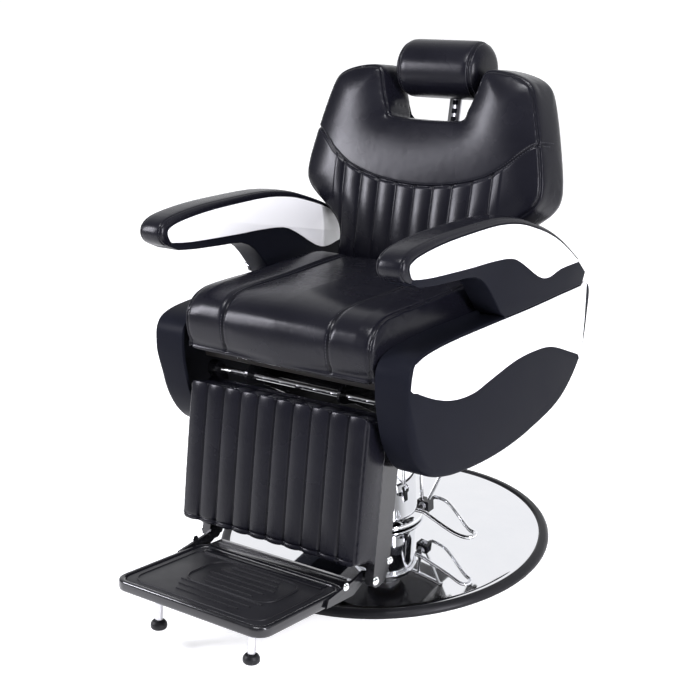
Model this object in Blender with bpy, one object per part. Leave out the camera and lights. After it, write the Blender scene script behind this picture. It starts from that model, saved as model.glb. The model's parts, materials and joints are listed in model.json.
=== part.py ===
"""Hydraulic barber chair, built as separate sub-parts.

Metres, +Z up. The origin is on the floor under the centre of the round base. The chair faces -Y, and the
sitter's left is +X. A profile is a list of (y, z) points, seen from the chair's side, unless its function
says otherwise.
"""

import math

import bmesh
import bpy
from mathutils import Matrix, Vector

# ---- driving dimensions --------------------------------------------------------------------------------
GAP = 0.0003                    # between touching pieces

BASE_RADIUS = 0.36              # outside of the rubber rim
BASE_RIM_WIDTH = 0.02
BASE_RIM_HEIGHT = 0.013
BASE_CROWN = 0.05               # height of the dome beside the pump
BASE_SHEET = 0.005              # thickness of the pressed base disc
HOUSING_RADIUS = 0.075          # chrome pump housing
HOUSING_TOP = 0.235
ROD_RADIUS = 0.03               # hydraulic piston rod
PLATE_Z = 0.29                  # underside of the seat's mounting plate
PEDAL_PIVOT = (0.112, 0.0, 0.102)

FRAME_SIDE_X = 0.11             # inner face of the under-frame's side plates
RECLINE_PIVOT = (0.19, 0.49)    # (y, z)
LEGREST_PIVOT = (-0.272, 0.447)
SEAT_HALF_WIDTH = 0.228
SEAT_FRONT = -0.335
SEAT_REAR = 0.1
SEAT_UNDERSIDE = 0.5
SEAT_TOP = 0.622

COVER_INNER_X = 0.232
COVER_OUTER_X = 0.305
COVER_WALL = 0.0064
ARM_INNER_X = 0.25
ARM_OUTER_X = 0.31
PANEL_THICKNESS = 0.003

BACK_LEAN = math.radians(16.7)
BACK_ORIGIN = (0.177, 0.759)    # (y, z) of the back's widest place, on its front face
BACK_CUSHION = 0.1
BACK_PANEL = 0.015
BACK_BRACKET_X = 0.155
HEADREST_RADIUS = 0.065
HEADREST_HALF_WIDTH = 0.104
HEADREST_CENTRE = (0.2416, 0.0674)
HEADREST_PIVOT = (0.205, 0.105)

CALF_TOP = (-0.343, 0.44)       # (y, z) of the calf pad's upper front edge
CALF_LEAN = math.radians(12.86)
CALF_LENGTH = 0.283
CALF_DEPTH = 0.07
CALF_HALF_WIDTH = 0.218
CHEEK_X = (0.195, 0.215)

FOOT_PIVOT = (-0.339, 0.11)     # (y, z)
TRAY_REAR = (-0.382, 0.108)     # (y, z) of the tray's upper rear edge
TRAY_TILT = math.radians(9.0)
TRAY_LENGTH = 0.258
TRAY_HALF_WIDTH = 0.182
TRAY_DEPTH = 0.022
TONGUE_LENGTH = 0.044           # the tray's narrower tail, which reaches back under the calf pad
TONGUE_HALF_WIDTH = 0.17

STRUT_X = -0.1355
STRUT_FRONT = (0.0, 0.461)      # (y, z) of the recline strut's front pin
STRUT_ARM = (0.09, math.radians(35.0))     # right bracket's lower arm: length, angle behind straight down
LINK_ARM = (0.1, math.radians(22.5))       # left bracket's
CRANK_ARM = (0.0905, math.radians(25.0))   # crank on the leg rest's left cheek
LINK_X = (0.17, 0.176)


# ---- materials -----------------------------------------------------------------------------------------
def material(name, colour, roughness, metallic=0.0):
    made = bpy.data.materials.new(name)
    made.use_nodes = True
    shader = made.node_tree.nodes["Principled BSDF"]
    shader.inputs["Base Color"].default_value = (*colour, 1.0)
    shader.inputs["Roughness"].default_value = roughness
    shader.inputs["Metallic"].default_value = metallic
    return made


for old in list(bpy.data.objects):
    bpy.data.objects.remove(old)

CHROME = material("chrome", (0.86, 0.87, 0.88), 0.06, 1.0)
STEEL = material("steel", (0.5, 0.51, 0.53), 0.35, 1.0)
BRONZE = material("bronze", (0.55, 0.38, 0.2), 0.4, 1.0)
BLACK_STEEL = material("black_steel", (0.02, 0.02, 0.022), 0.2)
LEATHER = material("black_leather", (0.015, 0.015, 0.018), 0.38)
BLACK_PLASTIC = material("black_plastic", (0.018, 0.018, 0.02), 0.35)
WHITE_GLOSS = material("white_gloss", (0.9, 0.9, 0.9), 0.1)
RUBBER = material("rubber", (0.03, 0.03, 0.03), 0.7)
PLYWOOD = material("plywood", (0.55, 0.4, 0.24), 0.7)


# ---- modelling helpers ---------------------------------------------------------------------------------
def finish(bm, name, mat, origin=(0.0, 0.0, 0.0), sharp_angle=35.0):
    """Turns bm, in world coordinates, into an object whose origin is at the given point."""
    bmesh.ops.recalc_face_normals(bm, faces=bm.faces)
    bmesh.ops.translate(bm, verts=bm.verts, vec=-Vector(origin))
    mesh = bpy.data.meshes.new(name)
    bm.to_mesh(mesh)
    bm.free()
    mesh.materials.append(mat)
    mesh.shade_smooth()
    mesh.set_sharp_from_angle(angle=math.radians(sharp_angle))
    made = bpy.data.objects.new(name, mesh)
    made.location = origin
    bpy.context.scene.collection.objects.link(made)
    return made


def as_cutter(made):
    """Marks an object as a tool for a Boolean, which isn't a piece of the chair."""
    made.hide_render = True
    made.display_type = "WIRE"
    return made


def boolean(target, tool, operation):
    """Cuts tool from target, or joins it on, and leaves the modifier in place."""
    as_cutter(tool)
    step = target.modifiers.new(operation.lower(), "BOOLEAN")
    step.operation = operation
    step.solver = "EXACT"
    step.object = tool
    return target


def axis_turn(axis):
    """The rotation that takes +Z to the named axis."""
    turns = {"Z": Matrix.Identity(3), "X": Matrix.Rotation(math.pi / 2, 3, "Y")}
    turns["Y"] = Matrix.Rotation(-math.pi / 2, 3, "X")
    return turns[axis] if isinstance(axis, str) else Vector((0, 0, 1)).rotation_difference(axis).to_matrix()


def turned(name, profile, mat, centre=(0.0, 0.0, 0.0), axis="Z", sides=40, origin=None):
    """Turns a closed (radius, height) profile about an axis through centre. A point of radius 0 is a pole."""
    bm = bmesh.new()
    rings = []
    for radius, height in profile:
        if radius == 0:
            rings.append([bm.verts.new((0, 0, height))])
            continue
        angles = [2 * math.pi * i / sides for i in range(sides)]
        rings.append([bm.verts.new((radius * math.cos(a), radius * math.sin(a), height)) for a in angles])
    for ring, following in zip(rings, rings[1:] + rings[:1]):
        for i in range(sides):
            corners = [ring[i % len(ring)], ring[(i + 1) % len(ring)]]
            corners += [following[(i + 1) % len(following)], following[i % len(following)]]
            distinct = list(dict.fromkeys(corners))
            if len(distinct) > 2:
                bm.faces.new(distinct)
    place = Matrix.Translation(Vector(centre)) @ axis_turn(axis).to_4x4()
    bmesh.ops.transform(bm, matrix=place, verts=bm.verts)
    return finish(bm, name, mat, centre if origin is None else origin)


def rod(name, start, end, radius, mat, sides=20, origin=None):
    """A straight round bar between two points."""
    start, end = Vector(start), Vector(end)
    length = (end - start).length
    profile = [(0, 0), (radius, 0), (radius, length), (0, length)]
    return turned(name, profile, mat, start, (end - start).normalized(), sides, origin)


def block(name, low, high, mat, bevel=0.0, origin=None):
    """A box between two corners, its edges bevelled."""
    bm = bmesh.new()
    size = Vector(high) - Vector(low)
    centre = (Vector(high) + Vector(low)) / 2
    bmesh.ops.create_cube(bm, size=1.0, matrix=Matrix.Translation(centre) @ Matrix.Diagonal((*size, 1)))
    if bevel:
        bmesh.ops.bevel(bm, geom=bm.edges[:], offset=bevel, segments=2, profile=0.5, affect="EDGES")
    return finish(bm, name, mat, centre if origin is None else origin)


def smooth(points, steps=5, closed=True):
    """Points of a uniform Catmull-Rom curve through the given ones."""
    count = len(points)
    result = []
    for i in range(count if closed else count - 1):
        if closed:
            near = [Vector(points[(i + k) % count]) for k in (-1, 0, 1, 2)]
        else:
            near = [Vector(points[min(max(i + k, 0), count - 1)]) for k in (-1, 0, 1, 2)]
        a, b, c, d = near
        for step in range(steps):
            t = step / steps
            curve = 2 * b + (c - a) * t + (2 * a - 5 * b + 4 * c - d) * t * t + (3 * b - a - 3 * c + d) * t ** 3
            result.append(tuple(curve / 2))
    if not closed:
        result.append(tuple(points[-1]))
    return result


def offset_line(points, distances):
    """Moves each point of an open line to the right of its direction of travel by its own distance."""
    moved = []
    for i, point in enumerate(points):
        ahead = Vector(points[min(i + 1, len(points) - 1)]) - Vector(points[max(i - 1, 0)])
        ahead.normalize()
        moved.append((point[0] + ahead.y * distances[i], point[1] - ahead.x * distances[i]))
    return moved


def prism(name, outline, low_x, high_x, mat, bevel=0.0, segments=2, origin=None):
    """Extrudes a (y, z) outline along X, and bevels the edges round both of its ends."""
    bm = bmesh.new()
    lower = [bm.verts.new((low_x, y, z)) for y, z in outline]
    upper = [bm.verts.new((high_x, y, z)) for y, z in outline]
    bm.faces.new(lower)
    bm.faces.new(upper)
    count = len(outline)
    for i in range(count):
        bm.faces.new((lower[i], lower[(i + 1) % count], upper[(i + 1) % count], upper[i]))
    if bevel:
        bmesh.ops.recalc_face_normals(bm, faces=bm.faces)
        rims = [e for e in bm.edges if abs(e.verts[0].co.x - e.verts[1].co.x) < 1e-7]
        bmesh.ops.bevel(bm, geom=rims, offset=bevel, segments=segments, profile=0.5, affect="EDGES")
    return finish(bm, name, mat, (0, 0, 0) if origin is None else origin)


def swept(name, path, radius, mat, sides=10, origin=None):
    """A round bar along a path of points, with flat ends."""
    bm = bmesh.new()
    points = [Vector(p) for p in path]
    side = None
    rings = []
    for i, point in enumerate(points):
        ahead = (points[min(i + 1, len(points) - 1)] - points[max(i - 1, 0)]).normalized()
        if side is None:
            side = ahead.orthogonal().normalized()
        side = (side - ahead * side.dot(ahead)).normalized()
        other = ahead.cross(side)
        angles = [2 * math.pi * k / sides for k in range(sides)]
        rings.append([bm.verts.new(point + radius * (math.cos(a) * side + math.sin(a) * other)) for a in angles])
    for ring, following in zip(rings, rings[1:]):
        for k in range(sides):
            bm.faces.new((ring[k], ring[(k + 1) % sides], following[(k + 1) % sides], following[k]))
    bm.faces.new(rings[0])
    bm.faces.new(rings[-1])
    return finish(bm, name, mat, (0, 0, 0) if origin is None else origin)


def cross_drill(target, x_range, centre, radius, sides=20):
    """Drills target along X. The centre is (y, z)."""
    tool = rod(target.name + "_drill", (x_range[0], *centre), (x_range[1], *centre), radius, STEEL, sides)
    return boolean(target, tool, "DIFFERENCE")


def circle(centre, radius, start, end, steps):
    """Points of an arc in the side view, with its angles in degrees from +Y towards +Z."""
    angles = [math.radians(start + (end - start) * i / steps) for i in range(steps + 1)]
    return [(centre[0] + radius * math.cos(a), centre[1] + radius * math.sin(a)) for a in angles]


def on_both_sides(make):
    """Makes a piece on the sitter's left, and its mirror image on the right."""
    for side, sign in (("left", 1), ("right", -1)):
        make(side, sign)


def span(sign, a, b):
    """The x range from a to b on the left, or its mirror image on the right, low end first."""
    return (a, b) if sign > 0 else (-b, -a)


def below(pivot, arm):
    """(y, z) of the pin at the end of an arm that hangs from a pivot."""
    length, angle = arm
    return (pivot[0] + length * math.sin(angle), pivot[1] - length * math.cos(angle))


# ---- base and pump -------------------------------------------------------------------------------------
def dome_height(radius):
    """Upper surface of the base disc: a shallow dome that flattens towards its rim."""
    share = radius / (BASE_RADIUS - BASE_RIM_WIDTH)
    return BASE_RIM_HEIGHT + (BASE_CROWN - BASE_RIM_HEIGHT) * (1 - share ** 1.7)


def make_base():
    edge = BASE_RADIUS - BASE_RIM_WIDTH - GAP
    radii = [0.045 + (edge - 0.045) * i / 8 for i in range(9)]
    top = [(r, dome_height(r)) for r in radii]
    under = [(r, dome_height(r) - BASE_SHEET) for r in radii[:-1]]
    flange = [(edge, 0.0), (edge - BASE_SHEET, 0.0), (edge - BASE_SHEET, BASE_RIM_HEIGHT - BASE_SHEET)]
    turned("base_plate", [*top, *flange, *reversed(under)], CHROME, sides=64)
    inner = BASE_RADIUS - BASE_RIM_WIDTH
    height = BASE_RIM_HEIGHT
    rim = [(inner, 0), (inner, height), (inner + 0.003, height + 0.003)]
    rim += [(BASE_RADIUS - 0.006, height + 0.001), (BASE_RADIUS, height - 0.006), (BASE_RADIUS, 0)]
    turned("base_rim", rim, RUBBER, sides=64)


def make_pump():
    skirt_z = dome_height(0.088) + 0.003
    skirt = [(HOUSING_RADIUS + GAP, skirt_z), (0.09, skirt_z), (0.089, skirt_z + 0.008)]
    skirt += [(0.08, skirt_z + 0.016), (HOUSING_RADIUS + GAP, skirt_z + 0.018)]
    turned("pump_skirt", skirt, CHROME, sides=48)
    foot = dome_height(0.06) + 0.003
    housing = [(HOUSING_RADIUS - 0.003, foot), (HOUSING_RADIUS, foot), (HOUSING_RADIUS, HOUSING_TOP - 0.008)]
    housing += [(HOUSING_RADIUS - 0.008, HOUSING_TOP), (0.046, HOUSING_TOP), (0.046, HOUSING_TOP - 0.004)]
    housing += [(HOUSING_RADIUS - 0.006, HOUSING_TOP - 0.008)]
    turned("pump_housing", housing, CHROME, sides=48)
    cylinder = [(0, 0), (0.0445, 0), (0.0445, 0.225), (0.036, 0.225), (0.036, 0.012), (0, 0.012)]
    turned("pump_cylinder", cylinder, STEEL, sides=32)
    bush_foot = 0.225 + GAP
    bush = [(ROD_RADIUS + 0.0006, bush_foot), (0.0445, bush_foot), (0.0445, 0.246), (ROD_RADIUS + 0.0006, 0.246)]
    turned("guide_bush", bush, BRONZE, sides=32)


def make_piston():
    """The rod rises with its head, which stays inside the pump cylinder."""
    profile = [(0, 0.03), (0.0352, 0.03), (0.0352, 0.055), (ROD_RADIUS, 0.06), (ROD_RADIUS, 0.268)]
    profile += [(0.022, 0.268 + GAP), (0.022, 0.284), (0, 0.284)]
    turned("piston_rod", profile, CHROME, sides=32)


def make_pedal():
    x, y, z = PEDAL_PIVOT
    collar = [(HOUSING_RADIUS + GAP, 0.196), (0.083, 0.196), (0.083, 0.212), (HOUSING_RADIUS + GAP, 0.212)]
    hanger = turned("pedal_hanger", collar, CHROME, sides=48)
    arm = block("hanger_arm", (0.0785, -0.009, 0.198), (0.176, 0.009, 0.21), CHROME, 0.002)
    boolean(hanger, arm, "UNION")
    boolean(hanger, rod("stay_front", (0.104, 0, z + 0.0105), (0.104, 0, 0.2), 0.004, CHROME, 12), "UNION")
    boolean(hanger, rod("stay_rear", (0.1215, 0, z + 0.0135), (0.164, 0, 0.2), 0.004, CHROME, 12), "UNION")
    carrier = block("pedal_carrier", (x - 0.014, -0.011, z - 0.014), (x + 0.014, 0.011, z + 0.01), BLACK_STEEL)
    boolean(carrier, rod("axle", (x, -0.031, z), (x, 0.031, z), 0.0045, STEEL, 16), "UNION")
    loop = [(x, 0.036, z), (x + 0.02, 0.036, z), (x + 0.05, 0.024, z - 0.003), (0.235, -0.03, 0.089)]
    loop += [(0.258, -0.04, 0.088), (0.262, -0.055, 0.088), (0.25, -0.066, 0.088)]
    loop += [(0.215, -0.06, 0.089), (x + 0.04, -0.042, z - 0.003), (x + 0.02, -0.036, z), (x, -0.036, z)]
    swept("pump_pedal", smooth(loop, 4, closed=False), 0.0045, CHROME, 10, PEDAL_PIVOT)


# ---- seat's frame --------------------------------------------------------------------------------------
def make_mount_plate():
    hub = [(0.0225, 0.2685), (0.04, 0.2685), (0.04, PLATE_Z - GAP), (0.0225, PLATE_Z - GAP)]
    turned("swivel_hub", hub, STEEL, sides=32)
    block("mount_plate", (-0.13, -0.13, PLATE_Z), (0.13, 0.13, PLATE_Z + 0.01), BLACK_STEEL, 0.001)


def make_under_frame():
    """Two deep side plates on the mounting plate, with a tube across at each end."""
    floor = PLATE_Z + 0.01 + GAP
    outline = [(-0.125, floor), (0.125, floor), (0.125, 0.35), (0.175, 0.462)]
    outline += circle(RECLINE_PIVOT, 0.022, -45, 90, 5)
    outline += [(0.16, 0.4775 - GAP), (-0.25, 0.4775 - GAP)]
    outline += circle(LEGREST_PIVOT, 0.018, 90, 250, 6)
    outline += [(-0.24, 0.418), (-0.15, 0.36)]
    spread = 0.006

    def side_plate(side, sign):
        low, high = span(sign, FRAME_SIDE_X, FRAME_SIDE_X + spread)
        plate = prism("frame_side_" + side, outline, low, high, BLACK_STEEL)
        if side == "right":
            pin = rod("strut_pin", (high - 0.003, *STRUT_FRONT), (STRUT_X - 0.015, *STRUT_FRONT), 0.0042, STEEL, 16)
            boolean(plate, pin, "UNION")
        cross_drill(plate, (low - 0.01, high + 0.01), RECLINE_PIVOT, 0.0085)
        cross_drill(plate, (low - 0.01, high + 0.01), LEGREST_PIVOT, 0.0065)

    on_both_sides(side_plate)
    reach = FRAME_SIDE_X - GAP
    block("cross_tube_front", (-reach, -0.215, 0.425), (reach, -0.185, 0.455), BLACK_STEEL, 0.002)
    block("cross_tube_rear", (-reach, 0.085, 0.425), (reach, 0.115, 0.455), BLACK_STEEL, 0.002)
    rod("recline_shaft", (-0.168, *RECLINE_PIVOT), (0.168, *RECLINE_PIVOT), 0.008, CHROME, 20)
    rod("legrest_shaft", (-0.222, *LEGREST_PIVOT), (0.222, *LEGREST_PIVOT), 0.006, CHROME, 20)
    block("seat_board", (-0.215, -0.29, 0.4775), (0.215, 0.09, SEAT_UNDERSIDE - GAP), PLYWOOD, 0.002)


def make_seat_cushion():
    outline = [(SEAT_FRONT + 0.03, SEAT_UNDERSIDE), (0.075, SEAT_UNDERSIDE), (SEAT_REAR, 0.52), (SEAT_REAR, 0.585)]
    outline += [(0.075, 0.604), (-0.1, 0.612), (-0.24, SEAT_TOP), (-0.29, SEAT_TOP - 0.004)]
    outline += [(-0.32, 0.6), (SEAT_FRONT, 0.572), (SEAT_FRONT, 0.535), (SEAT_FRONT + 0.008, 0.513)]
    prism("seat_cushion", outline, -SEAT_HALF_WIDTH, SEAT_HALF_WIDTH, LEATHER, 0.012)


# ---- side covers and arms ------------------------------------------------------------------------------
COVER_TOP = [(-0.327, 0.546), (-0.29, 0.564), (-0.2, 0.565), (-0.05, 0.554), (0.12, 0.54), (0.3, 0.528)]
COVER_TOP += [(0.38, 0.515)]
COVER_REST = [(0.376, 0.45), (0.343, 0.36), (0.25, 0.293), (0.12, 0.271), (0.005, 0.267), (-0.11, 0.277)]
COVER_REST += [(-0.225, 0.3), (-0.285, 0.33), (-0.322, 0.39), (-0.336, 0.46), (-0.337, 0.51)]
INLAY_LOWER = [(0.34, 0.362), (0.287, 0.388), (0.208, 0.424), (0.142, 0.439), (0.05, 0.446), (-0.052, 0.439)]
INLAY_LOWER += [(-0.118, 0.434), (-0.19, 0.445), (-0.26, 0.472), (-0.331, 0.512)]


def cover_outline():
    """The cover's side view, and the part of it that is the top line."""
    outline = smooth(COVER_TOP + COVER_REST, 3)
    return outline, outline[:3 * (len(COVER_TOP) - 1) + 1]


def make_side_covers():
    """A moulded shell, open towards the seat, with a glossy panel over its upper half."""
    outline, top_line = cover_outline()
    inset = 0.004
    top = [(y, z - inset) for y, z in top_line][1:]
    rear = [(y - inset, z) for y, z in smooth(COVER_REST[:2], 2, closed=False)]
    panel = top + rear + smooth(INLAY_LOWER, 3, closed=False)

    def cover(side, sign):
        low, high = span(sign, COVER_INNER_X, COVER_OUTER_X)
        shell = prism("side_cover_" + side, outline, low, high, BLACK_PLASTIC, 0.004)
        middle = Vector((0.0, 0.42))
        hollow_outline = []
        for y, z in outline:
            away = Vector((y, z)) - middle
            inner = middle + away * (1 - COVER_WALL / away.length)
            hollow_outline.append((inner.x, inner.y))
        cut = span(sign, COVER_INNER_X - 0.01, COVER_OUTER_X - COVER_WALL)
        hollow = prism("cover_hollow_" + side, hollow_outline, *cut, STEEL)
        boolean(shell, hollow, "DIFFERENCE")
        face = COVER_OUTER_X + GAP
        panel_x = span(sign, face, face + PANEL_THICKNESS)
        prism("cover_panel_" + side, panel, *panel_x, WHITE_GLOSS)

    on_both_sides(cover)


ARM_TOP = [(-0.325, 0.708), (-0.341, 0.722), (-0.345, 0.738), (-0.334, 0.754), (-0.3, 0.763), (-0.22, 0.765)]
ARM_TOP += [(-0.13, 0.76), (-0.02, 0.75), (0.06, 0.733), (0.12, 0.711), (0.188, 0.68), (0.25, 0.642)]
ARM_TOP += [(0.32, 0.587)]
ARM_UNDER = [(-0.3, 0.694), (-0.25, 0.684), (-0.17, 0.672), (-0.11, 0.662), (-0.07, 0.638), (-0.04, 0.6)]
ARM_UNDER += [(-0.015, 0.565)]
PANEL_LOWER = [(0.314, 0.582), (0.233, 0.588), (0.18, 0.584), (0.137, 0.597), (0.07, 0.642), (0.024, 0.664)]
PANEL_LOWER += [(-0.054, 0.677), (-0.128, 0.685), (-0.264, 0.703), (-0.324, 0.716)]
PAD_FRONT = 0.014
PAD_REAR = 0.003


def make_arms():
    """A moulded arm that stands on the cover, a padded band over its top, and a panel on each of its faces."""
    line = smooth(ARM_TOP, 3, closed=False)
    last = len(line) - 1
    depth = [PAD_FRONT + (PAD_REAR - PAD_FRONT) * i / last for i in range(last + 1)]
    pad_under = offset_line(line, depth)
    below_pad = (Vector(line[0]) - Vector(line[1])).normalized() * 2 * GAP
    core_nose = [tuple(Vector(line[0]) + below_pad), tuple(Vector(pad_under[0]) + below_pad)]
    core_top = core_nose + offset_line(line, [d + GAP for d in depth])[1:]
    foot = [(y, z + 0.0005) for y, z in cover_outline()[1] if -0.005 < y < 0.36]
    rear = [(0.352, 0.55)]
    front = smooth(ARM_UNDER, 2, closed=False)
    outline = core_top + rear + foot[::-1] + front[::-1]
    panel_depth = [d + 0.003 for d in depth]
    panel = offset_line(line, panel_depth)[6:] + smooth(PANEL_LOWER, 3, closed=False)

    def arm(side, sign):
        low, high = span(sign, ARM_INNER_X, ARM_OUTER_X)
        prism("arm_" + side, outline, low, high, BLACK_PLASTIC)
        prism("arm_pad_" + side, line + pad_under[::-1], low, high, LEATHER)
        outer = span(sign, ARM_OUTER_X + GAP, ARM_OUTER_X + GAP + PANEL_THICKNESS)
        inner = span(sign, ARM_INNER_X - GAP - PANEL_THICKNESS, ARM_INNER_X - GAP)
        prism("arm_panel_outer_" + side, panel, *outer, WHITE_GLOSS)
        prism("arm_panel_inner_" + side, panel, *inner, WHITE_GLOSS)
        bar = span(sign, FRAME_SIDE_X + 0.006 + GAP, COVER_INNER_X + 0.03)
        block("arm_bracket_" + side, (bar[0], -0.1, 0.44), (bar[1], -0.06, 0.448), BLACK_STEEL, 0.001)

    on_both_sides(arm)


LEVER_PIVOT = (-0.322, -0.012, 0.578)


def make_recline_lever():
    x, y, z = LEVER_PIVOT
    rod("lever_boss", (-ARM_OUTER_X - 0.0005, y, z), (x + 0.0055, y, z), 0.011, BLACK_STEEL, 20)
    hub = rod("recline_lever", (x - 0.005, y, z), (x + 0.005, y, z), 0.0095, CHROME, 20, LEVER_PIVOT)
    path = [(x, y, z + 0.004), (x, y - 0.004, z + 0.03), (x, y - 0.014, z + 0.07), (x - 0.003, y - 0.024, z + 0.1)]
    stem = swept("lever_stem", smooth(path, 3, closed=False), 0.0038, CHROME, 10)
    boolean(hub, stem, "UNION")
    grip = [(0, 0), (0.007, 0), (0.009, 0.01), (0.0095, 0.035), (0.007, 0.046), (0, 0.049)]
    start = Vector(path[-1]) + Vector((0, -0.0002, 0.0006))
    turned("lever_grip", grip, BLACK_PLASTIC, start, Vector((0, -0.25, 1)).normalized(), 16, LEVER_PIVOT)


# ---- backrest and headrest -----------------------------------------------------------------------------
def back(x, up, depth):
    """World point from the back's own frame: up along its face, depth behind it."""
    y = BACK_ORIGIN[0] + up * math.sin(BACK_LEAN) + depth * math.cos(BACK_LEAN)
    z = BACK_ORIGIN[1] + up * math.cos(BACK_LEAN) - depth * math.sin(BACK_LEAN)
    return Vector((x, y, z))


def back_side(up, depth):
    """The same point as (y, z)."""
    return tuple(back(0, up, depth))[1:]


BACK_OUTLINE = [(0.0, -0.205), (0.165, -0.205), (0.186, -0.185), (0.188, -0.132), (0.203, -0.102)]
BACK_OUTLINE += [(0.239, -0.071), (0.284, -0.034), (0.296, 0.003), (0.28, 0.088), (0.254, 0.182)]
BACK_OUTLINE += [(0.235, 0.217), (0.19, 0.234), (0.136, 0.239), (0.123, 0.228), (0.112, 0.19)]
BACK_OUTLINE += [(0.095, 0.15), (0.075, 0.131), (0.0, 0.131)]


def back_slab(name, front, rear, inset, mat, bevel, segments):
    """A slab of the back's outline, between two depths, its sides moved in by inset."""
    half = offset_line(BACK_OUTLINE, [-inset] * len(BACK_OUTLINE))
    ring = half + [(-x, up) for x, up in reversed(half) if x > 0.001]
    bm = bmesh.new()
    near = [bm.verts.new(back(x, up, front)) for x, up in ring]
    far = [bm.verts.new(back(x, up, rear)) for x, up in ring]
    bm.faces.new(near)
    bm.faces.new(far)
    count = len(ring)
    for i in range(count):
        bm.faces.new((near[i], near[(i + 1) % count], far[(i + 1) % count], far[i]))
    if bevel:
        bmesh.ops.recalc_face_normals(bm, faces=bm.faces)
        rims = [e for e in bm.edges if (e.verts[0] in near) == (e.verts[1] in near)]
        bmesh.ops.bevel(bm, geom=rims, offset=bevel, segments=segments, profile=0.5, affect="EDGES")
    return finish(bm, name, mat, (0.0, *RECLINE_PIVOT))


def make_backrest():
    back_slab("backrest_cushion", 0.0, BACK_CUSHION, 0.0, LEATHER, 0.012, 2)
    panel_rear = BACK_CUSHION + BACK_PANEL
    back_slab("backrest_panel", BACK_CUSHION + GAP, panel_rear, 0.008, BLACK_PLASTIC, 0.005, 1)
    rear = panel_rear + GAP
    strap_top = back_side(-0.02, rear)
    strap_rear = [back_side(-0.19, rear + 0.028), back_side(-0.02, rear + 0.014)]
    pins = {"left": (LINK_ARM, (0.16, 0.182)), "right": (STRUT_ARM, (0.125, 0.156))}

    def bracket(side, sign):
        arm, reach = pins[side]
        pin = below(RECLINE_PIVOT, arm)
        outline = [strap_top, back_side(-0.212, rear)] + circle(RECLINE_PIVOT, 0.022, 150, 215, 3)
        outline += circle(pin, 0.013, 190, 380, 6) + circle(RECLINE_PIVOT, 0.024, -30, 20, 2) + strap_rear
        low, high = span(sign, BACK_BRACKET_X, BACK_BRACKET_X + 0.006)
        plate = prism("back_bracket_" + side, outline, low, high, BLACK_STEEL, origin=(0, *RECLINE_PIVOT))
        stub = span(sign, *reach)
        boolean(plate, rod("pin_" + side, (stub[0], *pin), (stub[1], *pin), 0.005, STEEL, 16), "UNION")
        cross_drill(plate, (low - 0.01, high + 0.01), RECLINE_PIVOT, 0.0085)

    on_both_sides(bracket)


def make_headrest():
    """A bolster that tilts on a flat bar, which slides in a guide behind the back."""
    face = BACK_CUSHION + BACK_PANEL + GAP
    bar_front, bar_rear = face + 0.0035, face + 0.0085

    def in_back(name, low, high, mat):
        bm = bmesh.new()
        size = Vector(high) - Vector(low)
        centre = (Vector(high) + Vector(low)) / 2
        tilt = Matrix.Rotation(-BACK_LEAN, 4, "X")
        place = Matrix.Translation(back(centre.x, centre.y, centre.z)) @ tilt
        bmesh.ops.create_cube(bm, size=1.0, matrix=place @ Matrix.Diagonal((size.x, size.z, size.y, 1)))
        return finish(bm, name, mat, (0.0, *RECLINE_PIVOT))

    guide = in_back("headrest_guide", (-0.024, -0.02, face), (0.024, 0.1, face + 0.0125), BLACK_STEEL)
    slot = in_back("guide_slot", (-0.0145, -0.03, bar_front - 0.0005), (0.0145, 0.11, bar_rear + 0.0005), STEEL)
    boolean(guide, slot, "DIFFERENCE")

    bar = in_back("headrest_bar", (-0.014, -0.07, bar_front), (0.014, 0.198, bar_rear), CHROME)
    pivot = back(0, *HEADREST_PIVOT)
    barrel = rod("bar_barrel", pivot - Vector((0.014, 0, 0)), pivot + Vector((0.014, 0, 0)), 0.0105, CHROME, 20)
    web = in_back("bar_web", (-0.0139, 0.19, 0.1), (0.0139, 0.2, bar_rear - 0.001), CHROME)
    boolean(bar, barrel, "UNION")
    boolean(bar, web, "UNION")

    radius, half = HEADREST_RADIUS, HEADREST_HALF_WIDTH
    round_off = 0.026
    profile = [(0, -half)]
    for i in range(5):
        angle = math.radians(90 * i / 4)
        profile.append((radius - round_off + round_off * math.sin(angle), round_off * (1 - math.cos(angle)) - half))
    profile += [(r, -h) for r, h in reversed(profile)]
    centre = back(0, *HEADREST_CENTRE)
    pad = turned("headrest_cushion", profile, LEATHER, centre, "X", 28, tuple(pivot))
    boolean(pad, in_back("bar_recess", (-0.02, 0.14, 0.083), (0.02, 0.23, 0.15), STEEL), "DIFFERENCE")


# ---- leg rest ------------------------------------------------------------------------------------------
def calf(down, depth):
    """(y, z) from the calf pad's own frame: down its face, depth behind it."""
    y = CALF_TOP[0] - down * math.sin(CALF_LEAN) + depth * math.cos(CALF_LEAN)
    z = CALF_TOP[1] - down * math.cos(CALF_LEAN) - depth * math.sin(CALF_LEAN)
    return (y, z)


CRANK = below(LEGREST_PIVOT, CRANK_ARM)


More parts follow.
